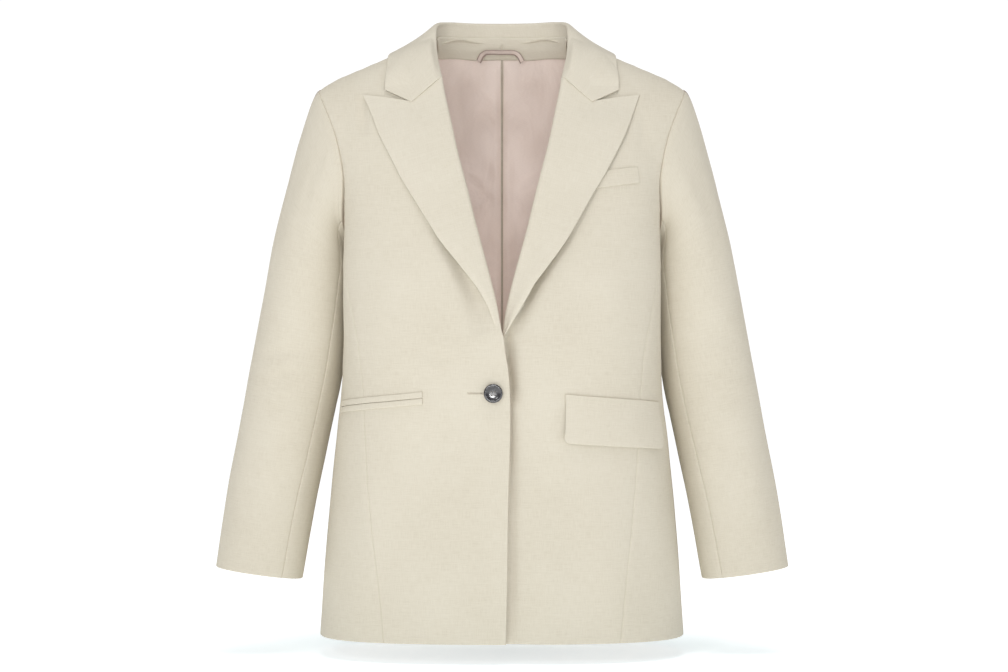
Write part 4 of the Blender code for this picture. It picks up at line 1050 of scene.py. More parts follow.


class Tree:
    """Short way to add and join shader nodes."""

    def __init__(self, name):
        self.material = bpy.data.materials.new(name)
        self.material.use_nodes = True
        self.nodes = self.material.node_tree.nodes
        self.links = self.material.node_tree.links
        self.shader = self.nodes["Principled BSDF"]

    def add(self, kind, **inputs):
        """A node with some inputs set by name; a tuple of (node, output) links it."""
        node = self.nodes.new(kind)
        for key, value in inputs.items():
            self.put(node, key.replace("_", " "), value)
        return node

    def put(self, node, key, value):
        """Set or link one input, found by name or number."""
        socket = node.inputs[int(key)] if key.isdigit() else node.inputs[key]
        if isinstance(value, tuple) and len(value) == 2 and hasattr(value[0], "outputs"):
            self.links.new(value[0].outputs[value[1]], socket)
        else:
            socket.default_value = value

    def math(self, operation, first, second=0.0, third=0.0):
        """A Math node, given as (node, 0) for the next one."""
        node = self.nodes.new("ShaderNodeMath")
        node.operation = operation
        for place, value in enumerate((first, second, third)):
            self.put(node, str(place), value)
        return node, 0

    def noise(self, vector, scale, detail=2.0, rough=0.5, distortion=0.0):
        """A Noise node's value."""
        node = self.add("ShaderNodeTexNoise", Vector=vector, Scale=scale, Detail=detail,
                        Roughness=rough, Distortion=distortion)
        return node, 0

    def stretch(self, vector, x, y, z=1.0):
        """A vector scaled along each axis."""
        node = self.nodes.new("ShaderNodeVectorMath")
        node.operation = "MULTIPLY"
        self.put(node, "0", vector)
        node.inputs[1].default_value = (x, y, z)
        return node, 0

    def ramp(self, value, stops):
        """A colour ramp's colour; stops are (place, colour)."""
        node = self.nodes.new("ShaderNodeValToRGB")
        self.put(node, "Fac", value)
        elements = node.color_ramp.elements
        elements[0].position, elements[0].color = stops[0]
        elements[1].position, elements[1].color = stops[-1]
        for place, colour in stops[1:-1]:
            elements.new(place).color = colour
        return node, 0

    def bump(self, height, strength, distance, under=None):
        """A Bump node's normal."""
        node = self.add("ShaderNodeBump", Height=height, Strength=strength, Distance=distance)
        if under is not None:
            self.put(node, "Normal", under)
        return node, 0


def weave(tree, pitch):
    """Plain weave and slubs read from the grain map: height, fine tone and slow tone."""
    grain = (tree.add("ShaderNodeUVMap"), 0)
    grain[0].uv_map = "grain"
    wander = tree.noise(tree.stretch(grain, 90, 90), 1.0, 2.0)
    shift = tree.math("MULTIPLY", tree.math("SUBTRACT", wander, 0.5), 1.6 * pitch)
    parts = tree.add("ShaderNodeSeparateXYZ", Vector=grain)
    warp = tree.math("ADD", (parts, 0), shift)
    weft = tree.math("ADD", (parts, 1), shift)
    turn = 2 * math.pi / pitch
    warp_wave = tree.math("SINE", tree.math("MULTIPLY", warp, turn))
    weft_wave = tree.math("SINE", tree.math("MULTIPLY", weft, turn))
    cross = tree.math("MULTIPLY", warp_wave, weft_wave)
    weft_slub = tree.noise(tree.stretch(grain, 85, 1150), 1.0, 2.0, 0.6)
    warp_slub = tree.noise(tree.stretch(grain, 1150, 80), 1.0, 2.0, 0.6)
    weft_band = tree.noise(tree.stretch(grain, 22, 420), 1.0, 1.0, 0.5)
    slubs = tree.math("ADD", tree.math("MULTIPLY", weft_slub, 0.44),
                      tree.math("MULTIPLY", warp_slub, 0.42))
    slubs = tree.math("ADD", slubs, tree.math("MULTIPLY", weft_band, 0.14))
    slow = tree.noise(tree.stretch(grain, 9, 9), 1.0, 3.0, 0.55)
    height = tree.math("ADD", tree.math("MULTIPLY", cross, 0.22), tree.math("MULTIPLY", slubs, 1.4))
    return height, slubs, slow


def cloth_material(name, light=0.0):
    """Pale slubbed linen-like suiting; light shifts its tone, painted light for a lighter copy of it."""
    tree = Tree(name)
    height, slubs, slow = weave(tree, WEAVE_PITCH)
    tone = tree.math("ADD", tree.math("MULTIPLY", tree.math("SUBTRACT", slubs, 0.5), 1.15), 0.5)
    tone = tree.math("ADD", tone, tree.math("MULTIPLY", tree.math("SUBTRACT", slow, 0.5), 0.35))
    tone = tree.math("ADD", tone, light)
    colour = tree.ramp(tone, [(0.18, CLOTH_SHADE), (0.5, CLOTH_COLOUR), (0.86, CLOTH_LIGHT)])
    tree.put(tree.shader, "Base Color", colour)
    tree.shader.inputs["Roughness"].default_value = 0.92
    tree.shader.inputs["Specular IOR Level"].default_value = 0.22
    tree.shader.inputs["Sheen Weight"].default_value = 0.16
    tree.shader.inputs["Sheen Roughness"].default_value = 0.55
    tree.shader.inputs["Sheen Tint"].default_value = (0.95, 0.9, 0.8, 1.0)
    tree.put(tree.shader, "Normal", tree.bump(height, 0.34, 0.0004))
    return tree.material


def lining_material(name, folded=0.0):
    """Dusty satin lining with soft crumples; folded is the width of a folded strip of it."""
    tree = Tree(name)
    grain = (tree.add("ShaderNodeUVMap"), 0)
    grain[0].uv_map = "grain"
    twill = tree.noise(tree.stretch(grain, 300, 2600), 1.0, 1.0, 0.5)
    crumple = tree.noise(tree.stretch(grain, 26, 15), 1.0, 3.0, 0.55, 0.8)
    # painted shade: the colour follows the crumple noise that also bumps the satin, darker in the crumples'
    # hollows
    tone = tree.math("ADD", tree.math("MULTIPLY", crumple, 0.7), tree.math("MULTIPLY", twill, 0.3))
    parts = tree.add("ShaderNodeSeparateXYZ", Vector=grain)
    if folded:
        # painted shade: the folded strip darkens towards both its edges, standing in for the shadow round
        # the loop
        half = 0.5 * folded
        beside = tree.math("DIVIDE", tree.math("ABSOLUTE", tree.math("ADD", (parts, 1), half)), half)
        seam = tree.math("POWER", tree.math("MINIMUM", beside, 1.0), 5.0)
        tone = tree.math("SUBTRACT", tree.math("MULTIPLY", tone, 0.5), tree.math("MULTIPLY", seam, 0.3))
    else:
        beside = tree.math("DIVIDE", tree.math("ABSOLUTE", (parts, 0)), LINING_SEAM)
        seam = tree.math("SUBTRACT", 1.0, tree.math("MINIMUM", beside, 1.0))
        tone = tree.math("SUBTRACT", tone, tree.math("MULTIPLY", seam, 0.9))
    colour = tree.ramp(tone, [(0.0, LINING_DARK), (0.3, LINING_SHADE), (0.62, LINING_COLOUR)])
    tree.put(tree.shader, "Base Color", colour)
    rough = tree.math("ADD", tree.math("MULTIPLY", crumple, 0.14), 0.34)
    tree.put(tree.shader, "Roughness", rough)
    tree.shader.inputs["Specular IOR Level"].default_value = 0.55
    tree.shader.inputs["Anisotropic"].default_value = 0.35
    tree.shader.inputs["Sheen Weight"].default_value = 0.25
    tree.shader.inputs["Sheen Roughness"].default_value = 0.35
    # painted light: the lining, and the loop made from it, glow faintly
    tree.shader.inputs["Emission Color"].default_value = LINING_COLOUR
    tree.shader.inputs["Emission Strength"].default_value = LINING_PAINTED_GLOW
    folds = tree.bump(crumple, 0.6, 0.005)
    tree.put(tree.shader, "Normal", tree.bump(twill, 0.12, 0.0002, folds))
    return tree.material


def horn_material(name):
    """Polished dark horn with a faint marble."""
    tree = Tree(name)
    where = (tree.add("ShaderNodeTexCoord"), 3)
    clouds = tree.noise(tree.stretch(where, 130, 130, 320), 1.0, 4.0, 0.6, 1.2)
    colour = tree.ramp(clouds, [(0.32, (0.012, 0.011, 0.013, 1.0)), (0.56, (0.028, 0.026, 0.03, 1.0)),
                                (0.78, (0.09, 0.082, 0.085, 1.0))])
    tree.put(tree.shader, "Base Color", colour)
    tree.put(tree.shader, "Roughness", tree.math("ADD", tree.math("MULTIPLY", clouds, 0.08), 0.16))
    tree.shader.inputs["Coat Weight"].default_value = 1.0
    tree.shader.inputs["Coat Roughness"].default_value = 0.12
    return tree.material


def thread_material(name, colour):
    """Twisted sewing thread."""
    tree = Tree(name)
    where = (tree.add("ShaderNodeTexCoord"), 3)
    twist = tree.noise(tree.stretch(where, 2400, 2400, 2400), 1.0, 2.0)
    shade = tuple(0.72 * c for c in colour) + (1.0,)
    tree.put(tree.shader, "Base Color", tree.ramp(twist, [(0.3, shade), (0.7, colour + (1.0,))]))
    tree.shader.inputs["Roughness"].default_value = 0.6
    tree.shader.inputs["Sheen Weight"].default_value = 0.3
    tree.put(tree.shader, "Normal", tree.bump(twist, 0.4, 0.0002))
    return tree.material


CLOTH_STUFF = cloth_material("suiting")
# painted light: lapels, collar and neck facing use a lighter copy of the suiting
LIGHTER_SUITING_STUFF = cloth_material("suiting_painted_lighter", 0.07)
LINING_STUFF = lining_material("lining_satin")
LOOP_STUFF = lining_material("loop_satin", LOOP_WIDTH * MM)
HORN_STUFF = horn_material("dark_horn")
THREAD_STUFF = thread_material("cream_thread", (0.66, 0.60, 0.48))
GREY_THREAD = thread_material("grey_thread", (0.40, 0.38, 0.37))


# ---------------------------------------------------------------- pieces
FOLDED_STRIP = 12 * MM      # strips narrower than this are cut twice as wide and folded


def keep(item, nodes):
    """Attach a piece to the root body and hide the nodes it stands for; its flat cut is looked up but not
    passed on.
    """
    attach(item, "root")
    if nodes:
        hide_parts(*nodes)
    if item.name in CUT:
        width, length, area = CUT[item.name]
        if length < FOLDED_STRIP:
            length = 2 * length
    return item


def split_marks(length, split, step):
    """Marks of a trunk panel's rows, with one at the corner under the arm."""
    return merge_marks(marks(length, step), [split], 0.003)


def trunk_relief(side):
    """Folds of any panel or piece that lies on the trunk."""
    def relief(u, v, base):
        return drape(base, side)

    return relief


def lining_relief(side):
    """The lining is looser than the cloth: its own wrinkles, and a pleat at the centre back."""
    def relief(u, v, base):
        x = base[..., 0] / MM
        z = base[..., 2] / MM
        wrinkle = 1.5 * np.sin(x / 9.0 + side * 1.1 + 1.3 * np.sin(z / 36.0)) * np.sin(z / 61.0 + side)
        wrinkle = wrinkle + 1.1 * np.sin((z + side * 0.8 * x) / 14.0 + np.sin(x / 12.0))
        wrinkle = wrinkle + 0.8 * np.sin((z - 1.3 * x + 9 * side) / 8.5 + 1.4 * np.sin(z / 29.0))
        wrinkle = wrinkle * (0.55 + 0.45 * np.sin(z / 43.0 + 2.1 * side) * np.sin(x / 21.0 + 0.7))
        calm = ease(x / 9.0) * ease((-z - 24.0) / 22.0)
        wrinkle = 0.6 * (wrinkle + np.sqrt(wrinkle ** 2 + 1.0))
        puff = 1.4 * np.exp(-((x - 7.0) / 5.0) ** 2) * ease((-z - 26) / 20)
        return drape(base, side) - MM * (wrinkle * calm + puff)

    return relief


def sleeve_relief(start, span, side):
    """Folds of a sleeve piece."""
    def relief(u, v, base):
        return sleeve_drape(start + span * u, v, base, side)

    return relief


def lapel_relief(side):
    """A lapel follows the cloth's slow unevenness but not the folds under it."""
    def relief(u, v, base):
        turned = np.stack([base[..., 0] * side, base[..., 1], base[..., 2]], axis=-1)
        return MM * drift(turned)

    return relief


UNDERLAP = 2.6 * MM         # seam allowance that slips under the next piece
UNDERLAP_SINK = 1.0 * MM
HEAD_UNDERLAP = 5.0 * MM    # the same at a sleeve's head
HEAD_SINK = 1.6 * MM
OVER_FOOT = -358 * MM       # the lapels run out on the front edges here
UNDER_FOOT = -376 * MM
FOOT_FADE = {True: 58 * MM, False: 16 * MM}
# the level where a front's edge comes out to the roll, and over how far (over front: True)
FRONT_MEETS = {True: (-318 * MM, 22 * MM), False: (-346 * MM, 8 * MM)}
EDGE_BLEND = (12 * MM, 14 * MM)     # roll to free edge: from this far above the break, over this
RUN_OUT = 26 * MM           # the lapel narrows over this height above its foot
RUN_OUT_SHARE = 0.16        # to this share of its width
LEAST_WIDTH = 1.2 * MM
UNDER_EDGE = ((-354, -290), (2.0, 40.0))    # level and across of the under lapel's straight foot
UNDER_EDGE_BLEND = (-288 * MM, 18 * MM)


def lapel_lift(u, w, over):
    """How far the lapel's outer leaf stands off the front."""
    opened = ease(u / 0.15)
    lift = 1.2 * MM * np.sin(np.pi * np.clip(w, 0, 1)) * (0.3 + 0.7 * opened)
    if not over:
        lift = lift + 2.4 * MM * ease(w / 0.9) * opened
    low = ease((u - 0.30) / 0.35) * ease((0.95 - u) / 0.28)
    return lift + (3.6 if over else 6.6) * MM * w ** 1.4 * low


def free_edge(level, over):
    """Distance across of the roll, then of a front's free edge below the break."""
    roll = MM * smooth(level / MM, column(ROLL_COLUMNS, ROLL, "level"),
                       column(ROLL_COLUMNS, ROLL, "crest"))
    if over:
        edge = -MM * smooth(level / MM, column(FRONT_EDGE_COLUMNS, FRONT_EDGE, "level"),
                            column(FRONT_EDGE_COLUMNS, FRONT_EDGE, "past_centre"))
    else:
        edge = OVERLAP_HIDDEN * ease((BREAK_LEVEL - level) / (40 * MM))
    below = ease((BREAK_LEVEL + EDGE_BLEND[0] - level) / EDGE_BLEND[1])
    return roll * (1 - below) + edge * below


def front_inner(level, over):
    """Distance across of a front's inner edge, closed up to the lapel's foot."""
    neck = np.interp(-level / MM, column(NECKLINE_COLUMNS, NECKLINE, "drop"),
                     column(NECKLINE_COLUMNS, NECKLINE, "across"))
    roll = ROLL_SET_BACK + smooth(level / MM, column(ROLL_COLUMNS, ROLL, "level"),
                                  column(ROLL_COLUMNS, ROLL, "crest"))
    inner = np.where(level > -90 * MM, neck, roll) * MM
    below = ease((FRONT_MEETS[over][0] - level) / FRONT_MEETS[over][1])
    return inner * (1 - below) + free_edge(level, over) * below


def lapel_plan(u, w, over):
    """Front view of the outer leaf: distance across, level and width, run out at its foot."""
    foot = OVER_FOOT if over else UNDER_FOOT
    crest_level = ROLL[0][0] * MM + (foot - ROLL[0][0] * MM) * u
    crest = free_edge(crest_level, True)
    top = LAPEL_EDGE[0][0] * MM
    edge_level = top + (foot - top) * u
    edge = MM * smooth(edge_level / MM, column(LAPEL_EDGE_COLUMNS, LAPEL_EDGE, "level"),
                       column(LAPEL_EDGE_COLUMNS, LAPEL_EDGE, "over_edge" if over else "under_edge"))
    run_out = RUN_OUT_SHARE + (1 - RUN_OUT_SHARE) * ease((crest_level - foot) / RUN_OUT)
    if not over:
        straight = MM * np.interp(edge_level / MM, *UNDER_EDGE)
        low_down = ease((UNDER_EDGE_BLEND[0] - edge_level) / UNDER_EDGE_BLEND[1])
        edge = edge * (1 - low_down) + straight * low_down
    edge = crest + np.maximum((edge - crest) * run_out, LEAST_WIDTH)
    shares = [0, NOTCH_SHARE, 0.76, 1]
    top_x = np.interp(w, shares, [ROLL[0][1], NOTCH[0], PEAK_TOP[0], LAPEL_EDGE[0][1]]) * MM
    top_z = np.interp(w, shares, [ROLL[0][0], NOTCH[1], PEAK_TOP[1], LAPEL_EDGE[0][0]]) * MM
    bend_x = top_x - (ROLL[0][1] + (LAPEL_EDGE[0][1] - ROLL[0][1]) * w) * MM
    bend_z = top_z - (ROLL[0][0] + (LAPEL_EDGE[0][0] - ROLL[0][0]) * w) * MM
    fade = np.clip(1 - u / 0.3, 0, 1) ** 2
    across = crest + (edge - crest) * w + bend_x * fade
    level = crest_level + (edge_level - crest_level) * w + bend_z * fade - 0.4 * MM * fade
    return across, level, edge - crest


def lapel_patch(over):
    """A lapel: u from the gorge to its foot, q over inner leaf, roll and outer leaf."""
    foot = OVER_FOOT if over else UNDER_FOOT

    def face(q, u):
        angle = np.pi * (np.clip((q - Q_INNER) / (Q_ROLL - Q_INNER), 0, 1) - 0.5)
        middle = 0.5 * (OUTER_FACE + INNER_FACE)
        w = np.clip((q - Q_ROLL) / (1 - Q_ROLL), 0, 1)
        width = lapel_plan(u, w, over)[2]
        radius = np.minimum(ROLL_RADIUS, 0.45 * width)
        leaf = INNER_LEAF * np.clip((Q_INNER - q) / Q_INNER, 0, 1)
        leaf = np.minimum(leaf, width - radius)
        inset = np.where(q < Q_INNER, radius + leaf, radius * (1 - np.cos(angle)))
        inset = np.where(q > Q_ROLL, radius + (width - radius) * w, inset)
        rise = np.where(q < Q_INNER, INNER_FACE, middle + ROLL_RADIUS * np.sin(angle))
        rise = np.where(q > Q_ROLL, OUTER_FACE, rise)
        across, level, _ = lapel_plan(u, inset / width, over)
        rise = rise + lapel_lift(u, w, over) * (q > Q_ROLL)
        open_share = ease((level - foot) / FOOT_FADE[over])
        rise = -0.5 * CLOTH + (rise + 0.5 * CLOTH) * open_share
        out = front_out(across, level, over)
        return front_face(across, level, over) + out * rise[..., None]

    return face


LAPEL_GRAIN = math.radians(14)


def lapel_map(u, v, base, away):
    """Grain of a lapel: along its roll."""
    x, z = base[..., 0], base[..., 2]
    across = x * math.cos(LAPEL_GRAIN) - z * math.sin(LAPEL_GRAIN)
    return np.stack([across, x * math.sin(LAPEL_GRAIN) + z * math.cos(LAPEL_GRAIN)], axis=-1)


def sleeve_map(start, span):
    """Grain of a sleeve piece: round it and along it."""
    def flat(u, v, base, away):
        return MM * np.stack([(start + span * u) / 360 * SLEEVE_GIRTH, -SLEEVE_LENGTH * v], axis=-1)

    return flat


def tapered(where, marks_along, reach, sink):
    """An allowance that dies out at both ends of its side."""
    share = ease(np.minimum(marks_along, 1 - marks_along) / 0.04)
    return where, reach * share, sink * share


def build_cloth():
    """Every cloth piece, both hands."""
    made = {}
    front_u, front_v = marks(200, 3.2), split_marks(690, FRONT_SPLIT, 3.4)
    back_u, back_v = marks(215, 3.6), split_marks(700, BACK_SPLIT, 3.6)
    top_u, top_v = marks(236, 3.3), marks(600, 3.6)
    under_u = marks(100, 3.3)
    for side, hand in ((1, "left"), (-1, "right")):
        over = hand == "right"
        relief = trunk_relief(side)
        made["front_" + hand] = shell(
            "front_" + hand + "_cloth", front_patch(over), front_u, front_v, CLOTH, -1,
            [CLOTH_STUFF, LINING_STUFF], side, seams=(("high_u", 0.5), ("low_v", 0.5)), relief=relief,
            cloth_map=trunk_map, allowances=(tapered("high_u", front_v, UNDERLAP, UNDERLAP_SINK),
                                             ("low_v", *tapered("", np.append(front_u, 1.0), UNDERLAP,
                                                                UNDERLAP_SINK)[1:])))
        made["side_" + hand] = shell(
            "side_" + hand + "_cloth", side_patch, marks(105, 3.2), marks(470, 3.6), CLOTH, -1,
            [CLOTH_STUFF, LINING_STUFF], side, seams=(("low_u", 0.5), ("high_u", 0.8), ("low_v", 0.6)),
            relief=relief, cloth_map=trunk_map)
        made["back_" + hand] = shell(
            "back_" + hand + "_cloth", back_patch, back_u, back_v, CLOTH, 1, [CLOTH_STUFF], side,
            seams=(("low_u", 1.0), ("high_u", 0.5), ("low_v", 0.5)),
            relief=relief, cloth_map=trunk_map,
            allowances=(tapered("high_u", back_v, UNDERLAP, UNDERLAP_SINK),
                        tapered("low_u", back_v, UNDERLAP, UNDERLAP_SINK)))
        lining_u = marks(190, 3.4) * 0.88
        lining_v = 0.02 + (0.985 - 0.02) * marks(680, 4.2)
        made["lining_" + hand] = shell(
            "lining_" + hand + "_satin", back_patch, lining_u, lining_v, LINING, 1,
            [LINING_STUFF], side, lift=-(CLOTH + SOFT_GAP), seams=(("low_u", 0.5),),
            relief=lining_relief(side), cloth_map=trunk_map)
        top_start = TOP_SLEEVE_BACK + 0.15
        top_span = TOP_SLEEVE_FRONT - 0.15 - top_start
        made["top_sleeve_" + hand] = shell(
            "top_sleeve_" + hand + "_cloth", top_sleeve_patch, top_u, top_v,
            CLOTH, 1, [CLOTH_STUFF, LINING_STUFF], side,
            seams=(("low_u", 0.8), ("high_u", 0.8), ("low_v", 0.25)),
            relief=sleeve_relief(top_start, top_span, side), cloth_map=sleeve_map(top_start, top_span),
            allowances=(("low_v", HEAD_UNDERLAP, HEAD_SINK),))
        under_start = TOP_SLEEVE_FRONT + 0.15
        under_span = TOP_SLEEVE_BACK + 360 - 0.15 - under_start
        made["under_sleeve_" + hand] = shell(
            "under_sleeve_" + hand + "_cloth", under_sleeve_patch, under_u,
            marks(560, 3.6), CLOTH, 1, [CLOTH_STUFF, LINING_STUFF], side,
            seams=(("low_u", 0.8), ("high_u", 0.8), ("low_v", 0.4)),
            relief=sleeve_relief(under_start, under_span, side),
            cloth_map=sleeve_map(under_start, under_span),
            allowances=(("low_v", HEAD_UNDERLAP * (1 - ease(under_u / 0.25)), HEAD_SINK),))
        lapel_q = np.concatenate([
            np.linspace(0, Q_INNER, 5)[:-1], np.linspace(Q_INNER, Q_ROLL, 13)[:-1],
            Q_ROLL + (1 - Q_ROLL) * merge_marks(marks(90, 2.6), [NOTCH_SHARE, 0.76], 0.006)])
        gorge = 4.0 * MM * (1 - ease((lapel_q - Q_ROLL) / (1 - Q_ROLL) / NOTCH_SHARE * 6 - 5))
        made["lapel_" + hand] = shell(
            "lapel_" + hand + "_cloth", lapel_patch(over), lapel_q, marks(330, 2.8), LEAF, -1,
            [LIGHTER_SUITING_STUFF], side, relief=lapel_relief(side), cloth_map=lapel_map,
            allowances=(("low_v", gorge, 0.35 * gorge),), soften=(0.24, 0.60, 14))
    return made


cloth = build_cloth()
for key, item in cloth.items():
    keep(item, [key])


COLLAR_END = 0.998
collar_q = np.concatenate([
    np.linspace(0, Q_INNER, 7)[:-1], np.linspace(Q_INNER, Q_ROLL, 13)[:-1],
    Q_ROLL + (1 - Q_ROLL) * merge_marks(marks(50, 2.4), [NOTCH_SHARE], 0.01)])


def collar_relief(u, v, base):
    """Slight unevenness of the collar."""
    return MM * 0.6 * drift(base)


STAND_DROP = 0.3 * MM       # the stand comes this far below its seat, behind the facing
collar_u = marks(560, 2.6)
stand_drop = STAND_DROP * (1 - ease((np.abs(2 * collar_u - 1) - 0.46) / 0.14))
collar = shell("collar_cloth", collar_patch, collar_q, collar_u, LEAF, -1, [LIGHTER_SUITING_STUFF],
               relief=collar_relief, allowances=(("low_u", stand_drop, 0.6 * MM),), soften=(0.24, 0.64, 16))
keep(collar, ["collar"])

# the neck facing: from the stand's foot down over the inside of the back
NECK_TURNS = (0.0, 23.5, 48.8, 70.4, 87.0)      # degrees round the neckline
NECK_PLACES = (0.0, 0.20, 0.38, 0.52, 0.65)     # the same points on the collar
FACING_BULGE = 2.8 * MM
FACING_SEAM_RISE = 0.8 * MM  # its top laps this far up over the stand's foot
FACING_FORWARD = 1.8 * MM   # and stands this far in front of it
FACING_FOOT = 0.0262        # share of the back's length at its lower edge
FACING_EDGE_RISE = 0.006    # the lower edge rises towards the shoulders
STAND_REACH = 0.61          # share of the collar's half that the facing runs along


def facing_face(u, v):
    """Rear face of the neck facing, straight from the stand to its lower edge."""
    across = 2 * u - 1
    far = np.abs(across)
    share = STAND_REACH * far
    place = NECK_SHARE * np.interp(share, NECK_PLACES, NECK_TURNS) / 90
    foot = FACING_FOOT - FACING_EDGE_RISE * far ** 2
    out = normals(back_patch, place, foot, 1)
    low = back_patch(place, foot) - out * (CLOTH + SOFT_GAP + 1.4 * MM)
    top = collar_patch(0 * share, 0.5 + 0.5 * share)
    top = top + normals(back_patch, place, 0 * foot + 0.001, 1) * (LEAF - FACING_FORWARD)
    top[..., 2] = top[..., 2] + FACING_SEAM_RISE
    point = top + (low - top) * v[..., None] - out * (FACING_BULGE * np.sin(np.pi * v))[..., None]
    point[..., 0] = np.where(across < 0, -point[..., 0], point[..., 0])
    return point


facing = shell("neck_facing_cloth", facing_face, marks(290, 3.0), np.linspace(0, 1, 13), LEAF, 1,
               [LIGHTER_SUITING_STUFF], seams=(("high_v", 0.3),))
keep(facing, ["neck_facing"])
loop_lift = -(CLOTH + SOFT_GAP + LEAF + SOFT_GAP + 2.4 * MM)
loop = shell("hanging_loop_satin", loop_patch, np.linspace(0, 1, 61), np.linspace(0, 1, 9), STRIP, 1,
             [LOOP_STUFF], lift=loop_lift)
keep(loop, ["hanging_loop"])

STRIP_LIFT = 1.3 * MM
STRIP_THICK = 1.0 * MM
height = RIGHT_POCKET[2]


def lip_relief(side, plump):
    """A folded pocket lip, slightly rounded across."""
    def relief(u, v, base):
        return drape(base, side) + plump * MM * np.sqrt(np.clip(4 * v * (1 - v), 0, 1))

    return relief


strip_u = marks(140, 2.4)
strip_v = np.array([0, 0.06, 0.15, 0.3, 0.5, 0.7, 0.85, 0.94, 1.0])
jet_upper = shell("jet_upper_right_cloth", strip_patch(RIGHT_POCKET, True), strip_u, strip_v,
                  STRIP_THICK, -1, [CLOTH_STUFF], -1, STRIP_LIFT, relief=lip_relief(-1, 0.4))
keep(jet_upper, ["jet_upper_right"])
jet_lower = shell("jet_lower_right_cloth", strip_patch(RIGHT_POCKET, True, height + 1.0), strip_u,
                  strip_v, STRIP_THICK, -1, [CLOTH_STUFF], -1, STRIP_LIFT,
                  relief=lip_relief(-1, 0.5))
keep(jet_lower, ["jet_lower_right"])
welt = shell("chest_welt_cloth", strip_patch(CHEST_WELT, False), marks(62, 2.0), marks(18.5, 1.6),
             STRIP_THICK, -1, [CLOTH_STUFF], 1, STRIP_LIFT, relief=lip_relief(1, 0.2))
keep(welt, ["chest_welt"])


def flap_relief(u, v, base):
    """The flap follows the body's folds and curls a little at its lower edge."""
    return drape(base, 1) + MM * (1.2 * ease(v) + 0.5 * np.sin(u * 7.0 + 0.6) * v * v)


flap = shell("flap_left_cloth", flap_patch, marks(140, 2.2), marks(56, 2.2), LEAF, -1,
             [CLOTH_STUFF], 1, LEAF + 0.6 * MM, relief=flap_relief)
keep(flap, ["flap_left"])


# ---------------------------------------------------------------- button
def finish_builder(name, build, material):
    """Turn a bmesh into a smooth object."""
    bmesh.ops.recalc_face_normals(build, faces=build.faces[:])
    mesh = bpy.data.meshes.new(name)
    build.to_mesh(mesh)
    build.free()
    mesh.materials.append(material)
    mesh.polygons.foreach_set("use_smooth", np.ones(len(mesh.polygons), dtype=bool))
    item = bpy.data.objects.new(name, mesh)
    bpy.context.scene.collection.objects.link(item)
    return item


# radius share and height share, from the middle of the back round the rim into the dish
FINE_PROFILE = (
    (0.0, 0.0), (0.74, 0.0), (0.86, 0.06), (0.95, 0.2), (0.99, 0.38), (1.0, 0.55), (0.99, 0.72),
    (0.955, 0.88), (0.90, 0.97), (0.85, 1.0), (0.80, 0.985), (0.755, 0.93), (0.72, 0.85),
    (0.67, 0.74), (0.61, 0.66), (0.56, 0.625), (0.52, 0.60), (0.46, 0.58), (0.40, 0.565),
    (0.34, 0.557), (0.29, 0.552), (0.22, 0.549), (0.15, 0.547), (0.08, 0.546), (0.0, 0.545),
)
AROUND = 72
THREAD_HOLE = 1.05 * MM     # radius of a thread hole, and the sides of its cutter
HOLE_SIDES = 20
STITCH_RADIUS = 0.24 * MM


def turned(name, profile, radius, thick, centre, material, around=AROUND):
    """A round solid turned from its profile, facing -Y."""
    build = bmesh.new()
    rings = []
    for reach, rise in profile[1:-1]:
        ring = []
        for step in range(around):
            angle = 2 * math.pi * step / around
            ring.append(build.verts.new((
                centre[0] + reach * radius * math.cos(angle), centre[1] - rise * thick,
                centre[2] + reach * radius * math.sin(angle))))
        rings.append(ring)
    ends = [build.verts.new((centre[0], centre[1] - profile[k][1] * thick, centre[2]))
            for k in (0, -1)]
    for low, high in zip(rings, rings[1:]):
        for step in range(around):
            after = (step + 1) % around
            build.faces.new((low[step], low[after], high[after], high[step]))
    for ring, end in ((rings[0], ends[0]), (rings[-1], ends[1])):
        for step in range(around):
            build.faces.new((ring[step], ring[(step + 1) % around], end))
    return finish_builder(name, build, material)


def rod(build, start, end, radius, sides=8):
    """A short rod with domed ends between two points."""
    start = np.array(start)
    end = np.array(end)
    run = end - start
    length = np.linalg.norm(run)
    run = run / length
    aside = np.cross(run, [0.0, 0.0, 1.0] if abs(run[2]) < 0.9 else [1.0, 0.0, 0.0])
    aside = aside / np.linalg.norm(aside)
    above = np.cross(run, aside)
    rings = []
    for share, size in ((0.0, 0.45), (0.12, 0.85), (0.3, 1.0), (0.7, 1.0), (0.88, 0.85), (1.0, 0.45)):
        ring = []
        for step in range(sides):
            angle = 2 * math.pi * step / sides
            where = start + run * length * share
            where = where + radius * size * (aside * math.cos(angle) + above * math.sin(angle))
            ring.append(build.verts.new(where))
        rings.append(ring)
    for low, high in zip(rings, rings[1:]):
        for step in range(sides):
            after = (step + 1) % sides
            build.faces.new((low[step], low[after], high[after], high[step]))
    build.faces.new(rings[0])
    build.faces.new(rings[-1])


def skin_height(x, level, over, side):
    """Y of a front's outer skin, folds included, at a place across and level (own side positive)."""
    base = front_face(np.array([x]), np.array([level]), over)
    out = front_out(np.array([x]), np.array([level]), over)
    return (base + out * drape(base, side)[..., None])[0]


